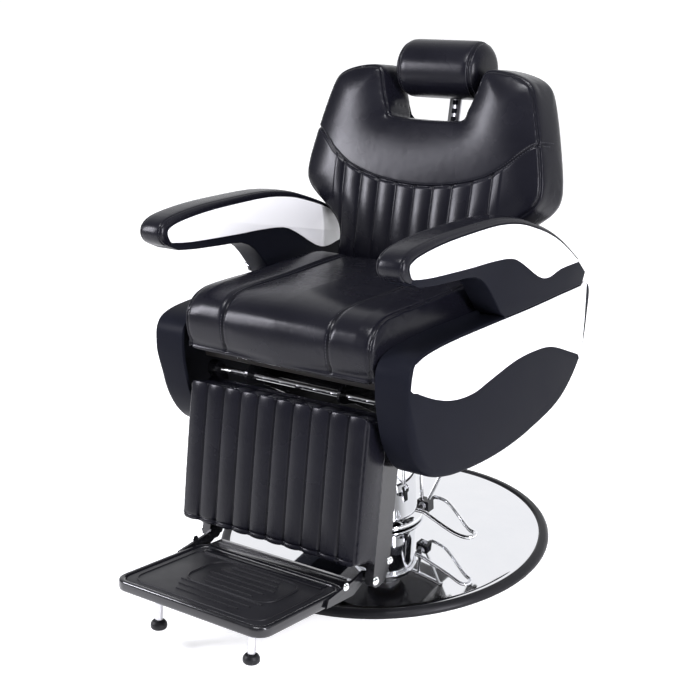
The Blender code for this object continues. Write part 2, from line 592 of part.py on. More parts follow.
def make_legrest():
    origin = (0.0, *LEGREST_PIVOT)
    pad = [(0.012, 0.0), (0.0, 0.014), (0.0, CALF_LENGTH - 0.02), (0.008, CALF_LENGTH - 0.005), (0.025, CALF_LENGTH)]
    pad += [(CALF_DEPTH - 0.006, CALF_LENGTH), (CALF_DEPTH, CALF_LENGTH - 0.006), (CALF_DEPTH, 0.006)]
    pad += [(CALF_DEPTH - 0.006, 0.0)]
    outline = [calf(down, depth) for depth, down in pad]
    prism("calf_pad", outline, -CALF_HALF_WIDTH, CALF_HALF_WIDTH, LEATHER, 0.01, origin=origin)
    near = CALF_DEPTH + GAP
    cheek_outline = [calf(0.003, near)] + circle(LEGREST_PIVOT, 0.016, 235, 20, 7)
    cheek_outline += [calf(0.03, 0.112)] + circle(CRANK, 0.012, 60, -60, 4)
    cheek_outline += [calf(0.1, 0.122), calf(0.3, 0.122), calf(0.33, 0.11), calf(0.336, 0.082), calf(0.33, near)]

    def cheek(side, sign):
        low, high = span(sign, *CHEEK_X)
        plate = prism("legrest_cheek_" + side, cheek_outline, low, high, BLACK_STEEL, origin=origin)
        if side == "left":
            stub = rod("crank_pin", (LINK_X[0] - 0.004, *CRANK), (low + 0.002, *CRANK), 0.005, STEEL, 16)
            boolean(plate, stub, "UNION")
        cross_drill(plate, (low - 0.01, high + 0.01), LEGREST_PIVOT, 0.0065)
        cross_drill(plate, (low - 0.01, high + 0.01), FOOT_PIVOT, 0.0055)

    on_both_sides(cheek)
    reach = CHEEK_X[0] - GAP
    board = [calf(0.02, near), calf(0.02, near + 0.012), calf(0.27, near + 0.012), calf(0.27, near)]
    prism("legrest_board", board, -reach, reach, PLYWOOD, origin=origin)
    brace = [calf(0.285, near + 0.02), calf(0.285, near + 0.042), calf(0.307, near + 0.042), calf(0.307, near + 0.02)]
    prism("legrest_brace", brace, -reach, reach, BLACK_STEEL, origin=origin)


# ---- footplate -----------------------------------------------------------------------------------------
def tray(forward, up):
    """(y, z) from the tray's own frame: forward from its rear edge, up from its rim."""
    y = TRAY_REAR[0] - forward * math.cos(TRAY_TILT) + up * math.sin(TRAY_TILT)
    z = TRAY_REAR[1] + forward * math.sin(TRAY_TILT) + up * math.cos(TRAY_TILT)
    return (y, z)


def tray_slab(name, inset, bottom, top, mat):
    """A plate with cut corners, in the tray's own frame."""
    wide, front, corner = TRAY_HALF_WIDTH - inset, TRAY_LENGTH - inset, 0.03
    half = [(0, inset), (wide - corner, inset), (wide - 0.008, inset + 0.01), (wide, inset + corner)]
    half += [(wide, front - corner), (wide - 0.009, front - 0.009), (wide - corner, front), (0, front)]
    ring = half + [(-x, forward) for x, forward in reversed(half) if x > 0]
    bm = bmesh.new()
    lower = [bm.verts.new((x, *tray(forward, bottom))) for x, forward in ring]
    upper = [bm.verts.new((x, *tray(forward, top))) for x, forward in ring]
    bm.faces.new(lower)
    bm.faces.new(upper)
    count = len(ring)
    for i in range(count):
        bm.faces.new((lower[i], lower[(i + 1) % count], upper[(i + 1) % count], upper[i]))
    return finish(bm, name, mat, (0.0, *FOOT_PIVOT))


def make_footplate():
    origin = (0.0, *FOOT_PIVOT)
    body = tray_slab("footplate_tray", 0.0, -TRAY_DEPTH, 0.0, BLACK_STEEL)
    boolean(body, tray_slab("tray_recess", 0.012, -0.007, 0.01, STEEL), "DIFFERENCE")
    tongue = [tray(-TONGUE_LENGTH, -0.012), tray(-TONGUE_LENGTH, -0.002), tray(0.01, -0.002), tray(0.01, -0.012)]
    tail = prism("tray_tongue", tongue, -TONGUE_HALF_WIDTH, TONGUE_HALF_WIDTH, BLACK_STEEL)
    boolean(body, tail, "UNION")
    tray_slab("footplate_mat", 0.0125, -0.007 + GAP, -0.0025, RUBBER)

    def leg(side, sign):
        x = sign * 0.114
        top, ankle, floor = -TRAY_DEPTH - GAP, -0.084, -0.1025
        rod("footplate_leg_" + side, (x, *tray(0.2, ankle)), (x, *tray(0.2, top)), 0.0075, CHROME, 16, origin)
        foot_top = (x, *tray(0.2, ankle - GAP))
        rod("rubber_foot_" + side, (x, *tray(0.2, floor)), foot_top, 0.016, RUBBER, 20, origin)
        low, high = span(sign, TRAY_HALF_WIDTH + GAP, TRAY_HALF_WIDTH + 0.006)
        outline = circle(FOOT_PIVOT, 0.013, -120, 80, 6)
        outline += [tray(-0.005, 0.011), tray(0.07, -0.002), tray(0.075, -0.018), tray(-0.01, -0.018)]
        arm = prism("footplate_arm_" + side, outline, low, high, BLACK_STEEL, origin=origin)
        pin = span(sign, TRAY_HALF_WIDTH + 0.004, CHEEK_X[1] + 0.004)
        stub = rod("foot_pin_" + side, (pin[0], *FOOT_PIVOT), (pin[1], *FOOT_PIVOT), 0.005, STEEL, 16)
        boolean(arm, stub, "UNION")

    on_both_sides(leg)


# ---- recline strut and leg rest link -------------------------------------------------------------------
def make_strut():
    """A locking strut between the under-frame and the foot of the back's right bracket."""
    rear = Vector(below(RECLINE_PIVOT, STRUT_ARM))
    front = Vector(STRUT_FRONT)
    ahead = (rear - front).normalized()
    axis = Vector((0, ahead.x, ahead.y))
    start = Vector((STRUT_X, *(front - ahead * 0.014)))
    body = [(0, 0), (0.0095, 0), (0.012, 0.003), (0.012, 0.134), (0.0072, 0.134), (0.0072, 0.028), (0, 0.028)]
    pivot = (STRUT_X, *STRUT_FRONT)
    cylinder = turned("strut_cylinder", body, BLACK_STEEL, start, axis, 24, pivot)
    cross_drill(cylinder, (STRUT_X - 0.02, STRUT_X + 0.02), STRUT_FRONT, 0.0048)
    eye_centre = Vector((STRUT_X, *rear))
    rod_start = start + axis * 0.094
    rod_end = eye_centre - axis * 0.012
    piece = rod("strut_rod", rod_start, rod_end, 0.0062, CHROME, 20, tuple(rod_start))
    eye = rod("rod_eye", eye_centre - Vector((0.006, 0, 0)), eye_centre + Vector((0.006, 0, 0)), 0.017, STEEL, 24)
    boolean(piece, eye, "UNION")
    cross_drill(piece, (STRUT_X - 0.02, STRUT_X + 0.02), tuple(rear), 0.0095, 24)


def make_link():
    """A push bar from the foot of the back's left bracket to the crank on the leg rest."""
    rear = below(RECLINE_PIVOT, LINK_ARM)
    slope = math.degrees(math.atan2(rear[1] - CRANK[1], rear[0] - CRANK[0]))
    outline = circle(CRANK, 0.012, slope + 90, slope + 270, 8) + circle(rear, 0.016, slope - 90, slope + 90, 8)
    bar = prism("legrest_link", outline, *LINK_X, BLACK_STEEL, origin=(0.0, *CRANK))
    cross_drill(bar, (LINK_X[0] - 0.01, LINK_X[1] + 0.01), CRANK, 0.0055)
    cross_drill(bar, (LINK_X[0] - 0.01, LINK_X[1] + 0.01), rear, 0.0115, 24)


make_base()
make_pump()
make_piston()
make_pedal()
make_mount_plate()
make_under_frame()
make_seat_cushion()
make_side_covers()
make_arms()
make_recline_lever()
make_backrest()
make_headrest()
make_legrest()
make_footplate()
make_strut()
make_link()
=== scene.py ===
"""Looks of a hydraulic barber chair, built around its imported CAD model.

Metres, +Z up, in the CAD model's own frame: the chair faces -Y and the sitter's left is +X.
"""

import json
import math

import bmesh
import bpy
import numpy as np
from mathutils import Matrix, Vector
from mathutils.bvhtree import BVHTree

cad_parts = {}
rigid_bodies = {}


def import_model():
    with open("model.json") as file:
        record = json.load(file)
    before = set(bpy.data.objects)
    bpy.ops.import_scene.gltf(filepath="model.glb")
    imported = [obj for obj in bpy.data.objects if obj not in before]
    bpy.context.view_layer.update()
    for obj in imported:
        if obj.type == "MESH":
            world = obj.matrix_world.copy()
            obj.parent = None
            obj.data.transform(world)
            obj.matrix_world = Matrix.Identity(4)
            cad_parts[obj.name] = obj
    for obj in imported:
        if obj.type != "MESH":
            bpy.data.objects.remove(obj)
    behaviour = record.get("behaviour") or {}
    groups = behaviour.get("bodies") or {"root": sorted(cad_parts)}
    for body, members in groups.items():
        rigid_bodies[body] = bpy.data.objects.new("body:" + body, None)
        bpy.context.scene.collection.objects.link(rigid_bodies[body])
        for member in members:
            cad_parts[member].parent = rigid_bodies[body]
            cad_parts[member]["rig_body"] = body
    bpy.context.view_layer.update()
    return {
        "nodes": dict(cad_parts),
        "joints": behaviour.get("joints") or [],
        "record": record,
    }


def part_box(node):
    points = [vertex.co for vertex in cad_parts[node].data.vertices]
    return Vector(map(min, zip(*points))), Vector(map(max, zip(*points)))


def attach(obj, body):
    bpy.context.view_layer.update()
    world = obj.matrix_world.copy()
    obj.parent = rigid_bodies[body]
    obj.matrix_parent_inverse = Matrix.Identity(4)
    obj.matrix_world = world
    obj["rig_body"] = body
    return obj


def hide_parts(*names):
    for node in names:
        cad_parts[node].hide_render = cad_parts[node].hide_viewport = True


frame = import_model()
joints = {joint["name"]: joint for joint in frame["joints"]}

X = Vector((1, 0, 0))
Y = Vector((0, 1, 0))
Z = Vector((0, 0, 1))


# ---- materials ----
NOISE = "ShaderNodeTexNoise"
# Map Range's vector sockets share their names with its float ones, so they are picked by number.
VECTOR_IN, VECTOR_TO_MIN, VECTOR_TO_MAX, VECTOR_OUT = 6, 9, 10, 1


def dial(node, **values):
    """Sets a node's inputs, each named like its socket with underscores for spaces."""
    for socket, value in values.items():
        node.inputs[socket.replace("_", " ")].default_value = value


def shaded(name, dark, light, roughness, metallic=0.0, spread=14.0, coat=0.0, specular=0.5):
    """A Principled material whose colour and roughness drift slightly over the surface."""
    made = bpy.data.materials.new(name)
    made.use_nodes = True
    tree = made.node_tree
    shader = tree.nodes["Principled BSDF"]
    dial(shader, Metallic=metallic, Coat_Weight=coat, Coat_Roughness=0.08, Specular_IOR_Level=specular)
    place = tree.nodes.new("ShaderNodeTexCoord")
    cloud = tree.nodes.new(NOISE)
    dial(cloud, Scale=spread, Detail=5.0)
    colour = tree.nodes.new("ShaderNodeMapRange")
    colour.data_type = "FLOAT_VECTOR"
    colour.inputs[VECTOR_TO_MIN].default_value = dark
    colour.inputs[VECTOR_TO_MAX].default_value = light
    gloss = tree.nodes.new("ShaderNodeMapRange")
    dial(gloss, From_Min=0.3, From_Max=0.7, To_Min=roughness[0], To_Max=roughness[1])
    tree.links.new(place.outputs["Object"], cloud.inputs["Vector"])
    tree.links.new(cloud.outputs["Fac"], colour.inputs[VECTOR_IN])
    tree.links.new(colour.outputs[VECTOR_OUT], shader.inputs["Base Color"])
    tree.links.new(cloud.outputs["Fac"], gloss.inputs["Value"])
    tree.links.new(gloss.outputs["Result"], shader.inputs["Roughness"])
    return made


def bumped(made, texture, scale, height, strength, stretch=(1, 1, 1)):
    """Adds a fine relief to a material, and leaves earlier reliefs under it."""
    tree = made.node_tree
    shader = tree.nodes["Principled BSDF"]
    place = tree.nodes.new("ShaderNodeTexCoord")
    squeeze = tree.nodes.new("ShaderNodeMapping")
    dial(squeeze, Scale=stretch)
    grain = tree.nodes.new(texture)
    dial(grain, Scale=scale)
    bump = tree.nodes.new("ShaderNodeBump")
    dial(bump, Distance=height, Strength=strength)
    tree.links.new(place.outputs["Object"], squeeze.inputs["Vector"])
    tree.links.new(squeeze.outputs["Vector"], grain.inputs["Vector"])
    tree.links.new(grain.outputs[0], bump.inputs["Height"])
    if shader.inputs["Normal"].links:
        tree.links.new(shader.inputs["Normal"].links[0].from_socket, bump.inputs["Normal"])
    tree.links.new(bump.outputs["Normal"], shader.inputs["Normal"])


LEATHER = shaded("black_leather_grain", (0.0032, 0.0032, 0.0052), (0.006, 0.006, 0.0095), (0.22, 0.3),
                 spread=9.0, specular=0.16)
THREAD = shaded("black_thread", (0.02, 0.02, 0.026), (0.04, 0.04, 0.048), (0.5, 0.6))
CHROME = shaded("polished_chrome", (0.84, 0.85, 0.87), (0.9, 0.9, 0.91), (0.025, 0.06), 1.0, 20.0)
WHITE = shaded("white_lacquer", (0.88, 0.88, 0.89), (0.93, 0.93, 0.93), (0.16, 0.24), spread=6.0, coat=0.1)
SATIN = shaded("satin_moulding", (0.005, 0.0055, 0.0085), (0.008, 0.0085, 0.0125), (0.34, 0.42),
               specular=0.02)
PAINT = shaded("black_gloss_paint", (0.004, 0.004, 0.005), (0.008, 0.008, 0.01), (0.13, 0.22),
               coat=0.2, specular=0.35)
RUBBER = shaded("moulded_rubber", (0.007, 0.007, 0.0085), (0.012, 0.012, 0.014), (0.36, 0.48),
                specular=0.2)
STEEL = shaded("turned_steel", (0.42, 0.42, 0.44), (0.55, 0.55, 0.57), (0.25, 0.38), 1.0, 40.0)
BRONZE = shaded("bearing_bronze", (0.42, 0.27, 0.13), (0.56, 0.38, 0.2), (0.3, 0.45), 1.0, 60.0)
# Plywood coloured almost black all over.
PLYWOOD = shaded("stained_plywood", (0.006, 0.005, 0.005), (0.014, 0.011, 0.01), (0.5, 0.65),
                 spread=7.0, specular=0.2)

# Reliefs: material, texture, scale, height in metres, strength, and the stretch of a one-way grain.
for relief in ((LEATHER, NOISE, 60.0, 0.0008, 0.18), (LEATHER, "ShaderNodeTexVoronoi", 900.0, 0.0002, 0.22),
               (THREAD, "ShaderNodeTexWave", 900.0, 0.0001, 0.4), (WHITE, NOISE, 180.0, 0.0002, 0.05),
               (SATIN, NOISE, 1400.0, 0.0001, 0.16), (PAINT, NOISE, 260.0, 0.0002, 0.07),
               (RUBBER, NOISE, 700.0, 0.0002, 0.2), (STEEL, NOISE, 300.0, 0.0001, 0.15, (1, 1, 12)),
               (BRONZE, NOISE, 500.0, 0.0001, 0.15), (PLYWOOD, NOISE, 40.0, 0.0004, 0.4, (1, 14, 1))):
    bumped(*relief)

LOOKS = {"chrome": CHROME, "steel": STEEL, "bronze": BRONZE, "black_steel": PAINT, "black_leather": LEATHER}
LOOKS |= {"black_plastic": SATIN, "white_gloss": WHITE, "rubber": RUBBER, "plywood": PLYWOOD}
SLOT_OF = {part["node"]: part["material_slot"] for part in frame["record"]["subparts"]}

for node, thing in frame["nodes"].items():
    thing.data.materials.clear()
    thing.data.materials.append(LOOKS[SLOT_OF[node]])


# ---- modelling helpers ----
SHARP_ANGLE = math.radians(40.0)


def linked(name, data):
    """A new object in the scene."""
    thing = bpy.data.objects.new(name, data)
    bpy.context.scene.collection.objects.link(thing)
    return thing


def placed(bm, name, look, *nodes, slot=None, body=None):
    """Turns bm, in world coordinates, into a piece standing for the nodes, on their body; the slot is not
    used.
    """
    slot = slot or SLOT_OF[nodes[0]]
    body = body or frame["nodes"][nodes[0]]["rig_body"]
    bmesh.ops.recalc_face_normals(bm, faces=bm.faces)
    caps = [face for face in bm.faces if len(face.verts) > 4]
    bmesh.ops.triangulate(bm, faces=caps, ngon_method="EAR_CLIP")
    mesh = bpy.data.meshes.new(name)
    bm.to_mesh(mesh)
    bm.free()
    mesh.materials.append(look)
    mesh.shade_smooth()
    mesh.set_sharp_from_angle(angle=SHARP_ANGLE)
    piece = linked(name, mesh)
    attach(piece, body)
    if nodes:
        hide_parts(*nodes)
    return piece


def baked(piece):
    """Applies a piece's modifiers to its mesh."""
    graph = bpy.context.evaluated_depsgraph_get()
    result = bpy.data.meshes.new_from_object(piece.evaluated_get(graph))
    piece.modifiers.clear()
    piece.vertex_groups.clear()
    piece.data = result


def smooth(points, steps=5, closed=True):
    """Points of a uniform Catmull-Rom curve through the given ones."""
    count = len(points)
    result = []
    for i in range(count if closed else count - 1):
        if closed:
            a, b, c, d = (Vector(points[(i + k) % count]) for k in (-1, 0, 1, 2))
        else:
            a, b, c, d = (Vector(points[min(max(i + k, 0), count - 1)]) for k in (-1, 0, 1, 2))
        for step in range(steps):
            t = step / steps
            curve = 2 * b + (c - a) * t + (2 * a - 5 * b + 4 * c - d) * t * t
            result.append((curve + (3 * b - a - 3 * c + d) * t ** 3) / 2)
    if not closed:
        result.append(Vector(points[-1]))
    return result


def evenly(points, gap, closed=False):
    """The same line with points about gap apart."""
    line = [Vector(p) for p in points] + ([Vector(points[0])] if closed else [])
    lengths = np.cumsum([0.0] + [(b - a).length for a, b in zip(line, line[1:])])
    count = max(2, round(lengths[-1] / gap))
    stops = np.linspace(0, lengths[-1], count + 1)
    columns = [np.interp(stops, lengths, [p[k] for p in line]) for k in range(len(line[0]))]
    result = [Vector(p) for p in zip(*columns)]
    return result[:-1] if closed else result


def inset_loop(points, amount):
    """A closed 2-D loop moved in by amount; an anticlockwise one shrinks."""
    count = len(points)
    moved = []
    for i, p in enumerate(points):
        ahead = (Vector(points[(i + 1) % count]) - Vector(points[i - 1])).normalized()
        step = amount[i] if hasattr(amount, "__len__") else amount
        moved.append(Vector((p[0] - ahead.y * step, p[1] + ahead.x * step)))
    return moved


def turn_sign(loop):
    """1 for an anticlockwise loop, which inset_loop shrinks with a positive amount, or -1."""
    return 1 if sum(a[0] * b[1] - b[0] * a[1] for a, b in zip(loop, loop[1:] + loop[:1])) > 0 else -1


def anticlockwise(points):
    """The loop, turned round if it runs clockwise."""
    return list(points) if turn_sign(points) > 0 else list(reversed(points))


def welded(node):
    """A CAD node's mesh with its split vertices joined."""
    bm = bmesh.new()
    bm.from_mesh(frame["nodes"][node].data)
    bmesh.ops.remove_doubles(bm, verts=bm.verts, dist=1e-5)
    return bm


def face_loop(node, direction):
    """The outer edge of a CAD node's flat face that looks in a direction, as points in order."""
    bm = welded(node)
    bm.normal_update()
    follow = {}
    for edge in bm.edges:
        looks = [face.normal.dot(direction) > 0.999 for face in edge.link_faces]
        if len(looks) == 2 and looks[0] != looks[1]:
            for a, b in (edge.verts, reversed(edge.verts)):
                follow.setdefault(a.index, []).append(b.index)
    loops = []
    left = set(follow)
    while left:
        start = min(left)
        loop = [start]
        left.discard(start)
        while True:
            onward = [n for n in follow[loop[-1]] if n in left]
            if not onward:
                break
            loop.append(onward[0])
            left.discard(onward[0])
        loops.append(loop)
    bm.verts.ensure_lookup_table()
    found = [[bm.verts[i].co.copy() for i in loop] for loop in loops]
    bm.free()
    return max(found, key=lambda loop: sum((b - a).length for a, b in zip(loop, loop[1:])))


def lofted(bm, rings, closed_ends=True):
    """Skins a row of rings with the same number of points each."""
    made = [[bm.verts.new(p) for p in ring] for ring in rings]
    for ring, following in zip(made, made[1:]):
        count = len(ring)
        for i in range(count):
            bm.faces.new((ring[i], ring[(i + 1) % count], following[(i + 1) % count], following[i]))
    if closed_ends:
        bm.faces.new(made[0])
        bm.faces.new(made[-1])
    return made


def skinned(name, rings, look, node):
    """A piece made of one row of rings."""
    bm = bmesh.new()
    lofted(bm, rings)
    return placed(bm, name, look, node)


def around(sides):
    """The angles of a ring's points."""
    return [2 * math.pi * i / sides for i in range(sides)]


def turned_into(bm, profile, centre=(0, 0, 0), axis=Z, sides=160):
    """Spins a (radius, height) profile about an axis. One that doesn't meet its own start gets flat ends."""
    turn = Z.rotation_difference(Vector(axis)).to_matrix()
    rings = []
    for radius, height in profile:
        spots = [Vector((radius * math.cos(a), radius * math.sin(a), height)) for a in around(sides)]
        rings.append([Vector(centre) + turn @ p for p in spots])
    made = lofted(bm, rings, closed_ends=False)
    if (Vector(profile[0]) - Vector(profile[-1])).length < 1e-6:
        bmesh.ops.remove_doubles(bm, verts=bm.verts, dist=1e-6)
    else:
        for ring in (made[0], made[-1]):
            bm.faces.new(ring)


def lathe(name, profile, look, node, centre=(0, 0, 0), axis=Z, sides=160):
    """A piece made of one turned profile."""
    bm = bmesh.new()
    turned_into(bm, profile, centre, axis, sides)
    placed(bm, name, look, node)


def arc(centre, radius, start, end, steps=6):
    """Points of an arc, its angles in degrees."""
    angles = [math.radians(start + (end - start) * i / steps) for i in range(steps + 1)]
    return [(centre[0] + radius * math.cos(a), centre[1] + radius * math.sin(a)) for a in angles]


def tube_into(bm, path, radius, sides=10, closed=False):
    """Adds a round bar along a path to bm."""
    count = len(path)
    side = None
    rings = []
    for i, point in enumerate(path):
        after = path[(i + 1) % count] if closed else path[min(i + 1, count - 1)]
        before = path[i - 1] if closed else path[max(i - 1, 0)]
        ahead = (Vector(after) - Vector(before)).normalized()
        side = ahead.orthogonal() if side is None else side - ahead * side.dot(ahead)
        side = side.normalized()
        other = ahead.cross(side)
        spots = [math.cos(a) * side + math.sin(a) * other for a in around(sides)]
        rings.append([Vector(point) + radius * spot for spot in spots])
    if closed:
        first = rings[0]
        made = lofted(bm, rings, closed_ends=False)
        last = made[-1]
        shift = min(range(sides), key=lambda k: (last[0].co - first[k]).length)
        for k in range(sides):
            start = (made[0][(k + 1 + shift) % sides], made[0][(k + shift) % sides])
            bm.faces.new((last[k], last[(k + 1) % sides], *start))
    else:
        lofted(bm, rings)


def rounded(node, width=0.0012, look=None, segments=3):
    """The CAD node's own shape with its edges rounded, in the node's place."""
    bm = welded(node)
    bmesh.ops.dissolve_limit(bm, angle_limit=math.radians(1.0), verts=bm.verts, edges=bm.edges)
    piece = placed(bm, node + "_finished", look or LOOKS[SLOT_OF[node]], node)
    edge = piece.modifiers.new("edge", "BEVEL")
    edge.width = width
    edge.segments = segments
    edge.limit_method = "ANGLE"
    edge.angle_limit = SHARP_ANGLE
    edge.harden_normals = True
    baked(piece)


WASHER = ((1.35, 0.0), (1.35, 0.12), (1.28, 0.2), (0.9, 0.2))       # (radius, height) in bolt radii
BOLT_HEX = ((1.0, 0.2), (1.0, 0.62))
BOLT_DOME = ((0.86, 0.78), (0.55, 0.95), (0.2, 1.02))


def dome_bolt(bm, centre, axis, radius, sides=36):
    """Adds a washer and a domed hexagon bolt head to bm, on a face at centre that looks along axis."""
    turn = Z.rotation_difference(Vector(axis)).to_matrix()
    half = math.pi / 6

    def ring(reach, height, hexagon=False):
        spots = []
        for a in around(sides):
            flat = math.cos(half) / math.cos((a % (2 * half)) - half) if hexagon else 1.0
            spots.append(Vector((reach * flat * math.cos(a), reach * flat * math.sin(a), height)))
        return [Vector(centre) + turn @ (radius * spot) for spot in spots]

    lofted(bm, [ring(*step) for step in WASHER])
    lofted(bm, [ring(*step, hexagon=True) for step in BOLT_HEX] + [ring(*step) for step in BOLT_DOME])


# ---- upholstery ----
THREAD_LIFT = 0.0002            # how far a thread stands off the leather
THREAD_OFFSET = 0.0042          # from a seam to the thread on either side of it


def positions(mesh, field="co"):
    """The vertices' positions, or their normals, as rows of an array."""
    flat = np.empty(len(mesh.vertices) * 3)
    mesh.vertices.foreach_get(field, flat)
    return flat.reshape(-1, 3)


def put(mesh, points):
    """Moves a mesh's vertices to the given rows."""
    mesh.vertices.foreach_set("co", points.ravel())
    mesh.update()


def to_line(points, line, closed=False):
    """Distance of each point from a polyline."""
    ends = np.array([list(p) for p in line])
    if closed:
        ends = np.vstack([ends, ends[:1]])
    best = np.full(len(points), 1e9)
    for a, b in zip(ends, ends[1:]):
        along = b - a
        t = np.clip((points - a) @ along / max(along @ along, 1e-12), 0, 1)
        best = np.minimum(best, np.linalg.norm(points - a - t[:, None] * along, axis=1))
    return best


def inflated(piece, held, pressure, cap):
    """Blows a closed mesh up in a short cloth simulation. The held vertices stay where they are."""
    scene = bpy.context.scene
    before = positions(piece.data)
    group = piece.vertex_groups.new(name="held")
    group.add([int(i) for i in np.flatnonzero(held)], 1.0, "REPLACE")
    cloth = piece.modifiers.new("cloth", "CLOTH")
    stuff = cloth.settings
    stuff.use_pressure = True
    stuff.uniform_pressure_force = pressure
    stuff.effector_weights.gravity = 0.0
    stuff.vertex_group_mass = "held"
    stuff.tension_stiffness = 12.0
    stuff.compression_stiffness = 12.0
    stuff.shear_stiffness = 6.0
    stuff.bending_stiffness = 0.4
    cloth.point_cache.frame_start = 1
    cloth.point_cache.frame_end = 20
    for step in range(1, 21):
        scene.frame_set(step)
    graph = bpy.context.evaluated_depsgraph_get()
    after = positions(piece.evaluated_get(graph).data)
    piece.modifiers.clear()
    piece.vertex_groups.clear()
    moved = after - before
    length = np.linalg.norm(moved, axis=1)
    moved *= np.minimum(1.0, cap / np.maximum(length, 1e-9))[:, None]
    put(piece.data, before + moved)
    scene.frame_set(1)


def remeshed(piece, voxel):
    """Evens out a piece's mesh at a voxel size."""
    step = piece.modifiers.new("voxels", "REMESH")
    step.mode = "VOXEL"
    step.voxel_size = voxel
    step.use_smooth_shade = True
    baked(piece)


def padded_out(piece, held, pressure, cap):
    inflated(piece, held, pressure, cap)
    step = piece.modifiers.new("fine", "SUBSURF")
    step.levels = 1
    step.render_levels = 1
    baked(piece)
    step = piece.modifiers.new("soften", "SMOOTH")
    step.iterations = 2
    step.factor = 0.5
    baked(piece)


def groove(piece, distance, width, depth, where=None):
    """Presses a sewn line into a piece, along its normals."""
    points = positions(piece.data)
    press = depth * np.exp(-(distance / width) ** 2)
    if where is not None:
        press = press * where
    put(piece.data, points - positions(piece.data, "normal") * press[:, None])


def surface(piece):
    """A piece's mesh, ready for rays."""
    bm = bmesh.new()
    bm.from_mesh(piece.data)
    tree = BVHTree.FromBMesh(bm)
    bm.free()
    return tree


def laid(tree, path, direction):
    """Drops the points of a path onto a surface along a direction, a thread's lift above it."""
    spots = []
    for point in path:
        hit, normal, _, _ = tree.ray_cast(Vector(point) - direction * 0.15, direction)
        if hit is not None:
            spots.append(hit + normal * THREAD_LIFT)
    return spots


def stitches(name, rows, body, pitch=0.006, radius=0.00045):
    """Short thread runs along rows of points that already lie on the leather."""
    bm = bmesh.new()
    for row in rows:
        marks = evenly(row, pitch / 2)
        for a, b in zip(marks[0::2], marks[1::2]):
            tube_into(bm, [a, a.lerp(b, 0.5), b], radius, 6)
    placed(bm, name, THREAD, slot="black_leather", body=body)


# ---- backrest ----
slide = Vector(joints["headrest_slide"]["axis"]).normalized()    # up the back's face
inward = X.cross(slide).normalized() * -1                        # from the face into the back
if inward.y < 0:
    inward = -inward
back_face = face_loop("backrest_cushion", -inward)
back_origin = Vector((0, *back_face[0].yz))
back_depth = max((v.co - back_origin).dot(inward) for v in frame["nodes"]["backrest_cushion"].data.vertices)
CUSHION_BEVEL = 0.012          # the CAD cushion's edge, outside its flat face
back_top = max((p - back_origin).dot(slide) for p in back_face) + CUSHION_BEVEL


def on_back(x, down, depth=0.0):
    """World point: across, down from the back's top edge, and into it."""
    return back_origin + X * x + slide * (back_top - down) + inward * depth


def back_frame(points):
    """(across, down, depth) of world points in the back's own frame."""
    away = points - np.array(back_origin)
    return np.stack([away[:, 0], back_top - away @ np.array(slide), away @ np.array(inward)], axis=1)


def smile_line():
    """The sewn curve under the head's lobes, as (across, down)."""
    half = [(0.283, 0.141), (0.262, 0.15), (0.24, 0.168), (0.21, 0.195), (0.165, 0.223), (0.09, 0.244)]
    points = half + [(0.0, 0.252)] + [(-x, down) for x, down in reversed(half)]
    return smooth(points, 6, closed=False)


RIB_PITCH = 0.046
RIBS_HALF_WIDTH = 0.184
SMILE_HALF_WIDTH = 0.281
SMILE_TABLE = tuple(zip(*sorted((p.x, p.y) for p in smile_line())))


def smile_at(x):
    """How far down the smile seam is at x."""
    return float(np.interp(x, *SMILE_TABLE))


def rib_lines():
    """The channels' seams, from the smile down to the cushion's lower edge."""
    foot = back_top - min((p - back_origin).dot(slide) for p in back_face) + CUSHION_BEVEL
    lines = []
    for k in range(-4, 5):
        x = k * RIB_PITCH
        lines.append([Vector((x, smile_at(x))), Vector((x * 0.985, foot + 0.02))])
    return lines


